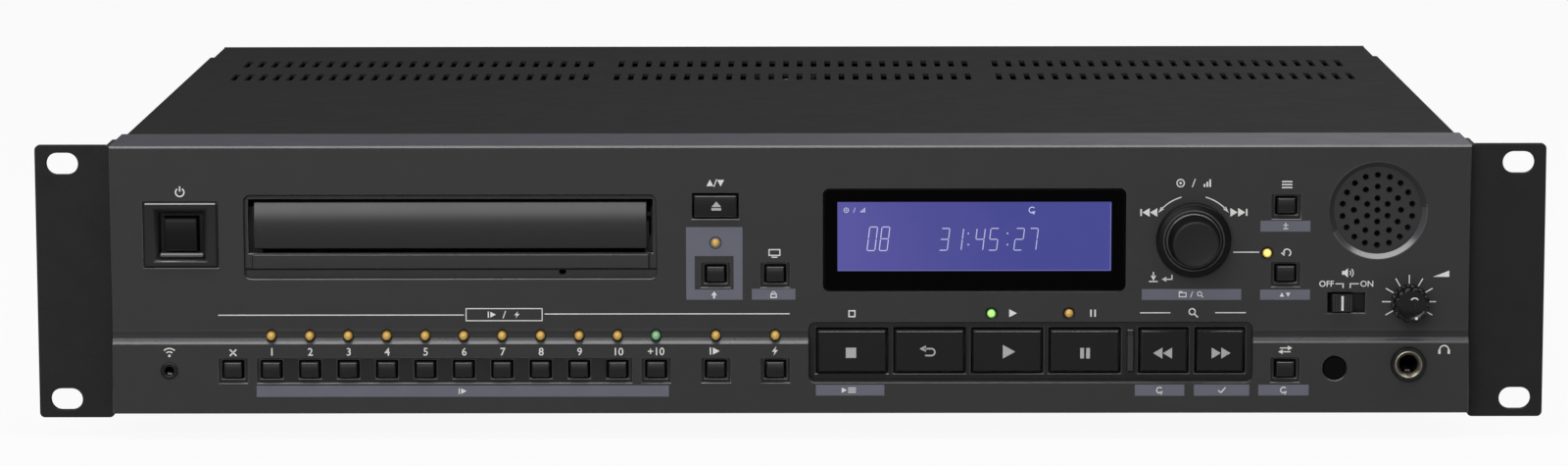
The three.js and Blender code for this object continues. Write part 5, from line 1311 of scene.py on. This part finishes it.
class PLAYER_OT_stage(bpy.types.Operator):
    """Sets the pale floor, the soft lights and the camera"""

    bl_idname = "disc_player.stage"
    bl_label = "Stage"

    def seen(self, tree):
        """One where a ray comes from the camera, straight or through a clear surface."""
        path = add(tree, "ShaderNodeLightPath")
        links = {0: (path, "Is Camera Ray"), 1: (path, "Is Transmission Ray")}
        return add(tree, "ShaderNodeMath", {"operation": "MAXIMUM"}, links)

    def floor(self, scene):
        """A matt paper floor that the camera sees as nearly white, with the object's shadow on it."""
        grid = bmesh.new()
        bmesh.ops.create_grid(grid, x_segments=1, y_segments=1, size=9)
        mesh = bpy.data.meshes.new("floor")
        grid.to_mesh(mesh)
        grid.free()
        pale, tree = new_material("matt_white_backdrop_paper")
        seen = self.seen(tree)
        paper = add(tree, "ShaderNodeBsdfDiffuse", {"Color": rgba(linear("#bebebe"))})
        glow = add(tree, "ShaderNodeEmission", {"Strength": 1.0})
        whiteness = 0.93
        part = add(tree, "ShaderNodeMath", {"operation": "MULTIPLY", 1: whiteness}, {0: (seen, 0)})
        mix = add(tree, "ShaderNodeMixShader", {}, {0: (part, 0), 1: (paper, 0), 2: (glow, 0)})
        add(tree, "ShaderNodeOutputMaterial", {}, {0: (mix, 0)})
        mesh.materials.append(pale)
        plane = bpy.data.objects.new("floor", mesh)
        scene.collection.objects.link(plane)

    def world(self, scene):
        """A dim fill, and for the camera a backdrop that falls from white to grey with height."""
        world = bpy.data.worlds.new("studio")
        world.use_nodes = True
        tree = world.node_tree
        tree.nodes.clear()
        seen = self.seen(tree)
        fill = add(tree, "ShaderNodeBackground", {"Strength": 0.3})
        heading = add(tree, "ShaderNodeTexCoord")
        split = add(tree, "ShaderNodeSeparateXYZ", {}, {0: (heading, "Generated")})
        settings = {"From Min": 0.15, "From Max": 0.6, "To Min": 1.0, "To Max": 0.25}
        ceiling = add(tree, "ShaderNodeMapRange", settings, {"Value": (split, 2)})
        backdrop = add(tree, "ShaderNodeBackground", {}, {"Strength": (ceiling, 0)})
        mix = add(tree, "ShaderNodeMixShader", {}, {0: (seen, 0), 1: (fill, 0), 2: (backdrop, 0)})
        add(tree, "ShaderNodeOutputWorld", {}, {0: (mix, 0)})
        scene.world = world

    def lamp(self, name, place, target, width, height, power):
        """A rectangular soft light aimed at a point."""
        light = bpy.data.lights.new(name, "AREA")
        light.shape = "RECTANGLE"
        light.size = width
        light.size_y = height
        light.energy = power
        holder = bpy.data.objects.new(name, light)
        holder.location = place
        holder.rotation_euler = (Vector(target) - Vector(place)).to_track_quat("-Z", "Y").to_euler()
        bpy.context.scene.collection.objects.link(holder)

    def camera(self, scene):
        """A long lens at the photograph's angle: above the middle, tipped down by eight degrees."""
        pitch, yaw, roll = (math.radians(a) for a in (8.02, -0.358, -0.112))
        ahead = Vector((math.sin(yaw) * math.cos(pitch), math.cos(yaw) * math.cos(pitch), -math.sin(pitch)))
        side = Vector((math.cos(yaw), -math.sin(yaw), 0))
        up = side.cross(ahead)
        right = side * math.cos(roll) + up * math.sin(roll)
        above = up * math.cos(roll) - side * math.sin(roll)
        focal_pixels = 5301.9
        image_width = 1600
        lens = bpy.data.cameras.new("camera")
        lens.sensor_width = 36
        lens.lens = focal_pixels / image_width * lens.sensor_width
        lens.clip_start = 0.01
        holder = bpy.data.objects.new("camera", lens)
        turn = Matrix((right, above, -ahead)).transposed()
        eye = Vector((0.008404, -1.640233 + PLACE.translation.y, 0.297436))
        holder.matrix_world = Matrix.Translation(eye) @ turn.to_4x4()
        scene.collection.objects.link(holder)
        scene.camera = holder

    def execute(self, context):
        scene = context.scene
        self.floor(scene)
        self.world(scene)
        self.lamp("strip_top", (0, -0.38, 1.3), (0, -0.15, 0.05), 2.6, 0.36, 19)
        self.lamp("soft_front", (-0.6, -2.4, 1.15), (0, -0.1, 0.05), 2.0, 1.3, 40)
        self.lamp("soft_back", (0.9, 2.3, 1.2), (0, 0.1, 0.05), 1.6, 1.0, 9)
        scene.view_settings.view_transform = "Standard"
        self.camera(scene)
        return {"FINISHED"}


OPERATORS = [
    PLAYER_OT_stage,
    PLAYER_OT_casing,
    PLAYER_OT_front_panel,
    PLAYER_OT_keys,
    PLAYER_OT_lamps,
    PLAYER_OT_display,
    PLAYER_OT_knobs,
    PLAYER_OT_speaker,
    PLAYER_OT_sockets,
    PLAYER_OT_print,
    PLAYER_OT_tray,
    PLAYER_OT_electronics,
    PLAYER_OT_hardware,
]


class PLAYER_PT_sidebar(bpy.types.Panel):
    """Lists the pieces of the disc player"""

    bl_label = "Disc player"
    bl_idname = "PLAYER_PT_sidebar"
    bl_space_type = "VIEW_3D"
    bl_region_type = "UI"
    bl_category = "Disc player"

    def draw(self, context):
        for group in (
            context.scene.disc_player_casing,
            context.scene.disc_player_controls,
            context.scene.disc_player_display,
        ):
            box = self.layout.box()
            for name in group.__annotations__:
                box.prop(group, name)
        for operator in OPERATORS:
            self.layout.operator(operator.bl_idname)


LOOKS = {
    "disc_player_casing": CasingLook,
    "disc_player_controls": ControlLook,
    "disc_player_display": DisplayLook,
}


def register():
    for cls in [*LOOKS.values(), *OPERATORS, PLAYER_PT_sidebar]:
        bpy.utils.register_class(cls)
    for name, cls in LOOKS.items():
        setattr(bpy.types.Scene, name, PointerProperty(type=cls))


def unregister():
    for name in LOOKS:
        delattr(bpy.types.Scene, name)
    for cls in reversed([*LOOKS.values(), *OPERATORS, PLAYER_PT_sidebar]):
        bpy.utils.unregister_class(cls)


def main():
    """Builds every piece in order."""
    register()
    for operator in OPERATORS:
        group, name = operator.bl_idname.split(".")
        getattr(getattr(bpy.ops, group), name)()


if __name__ == "__main__":
    main()
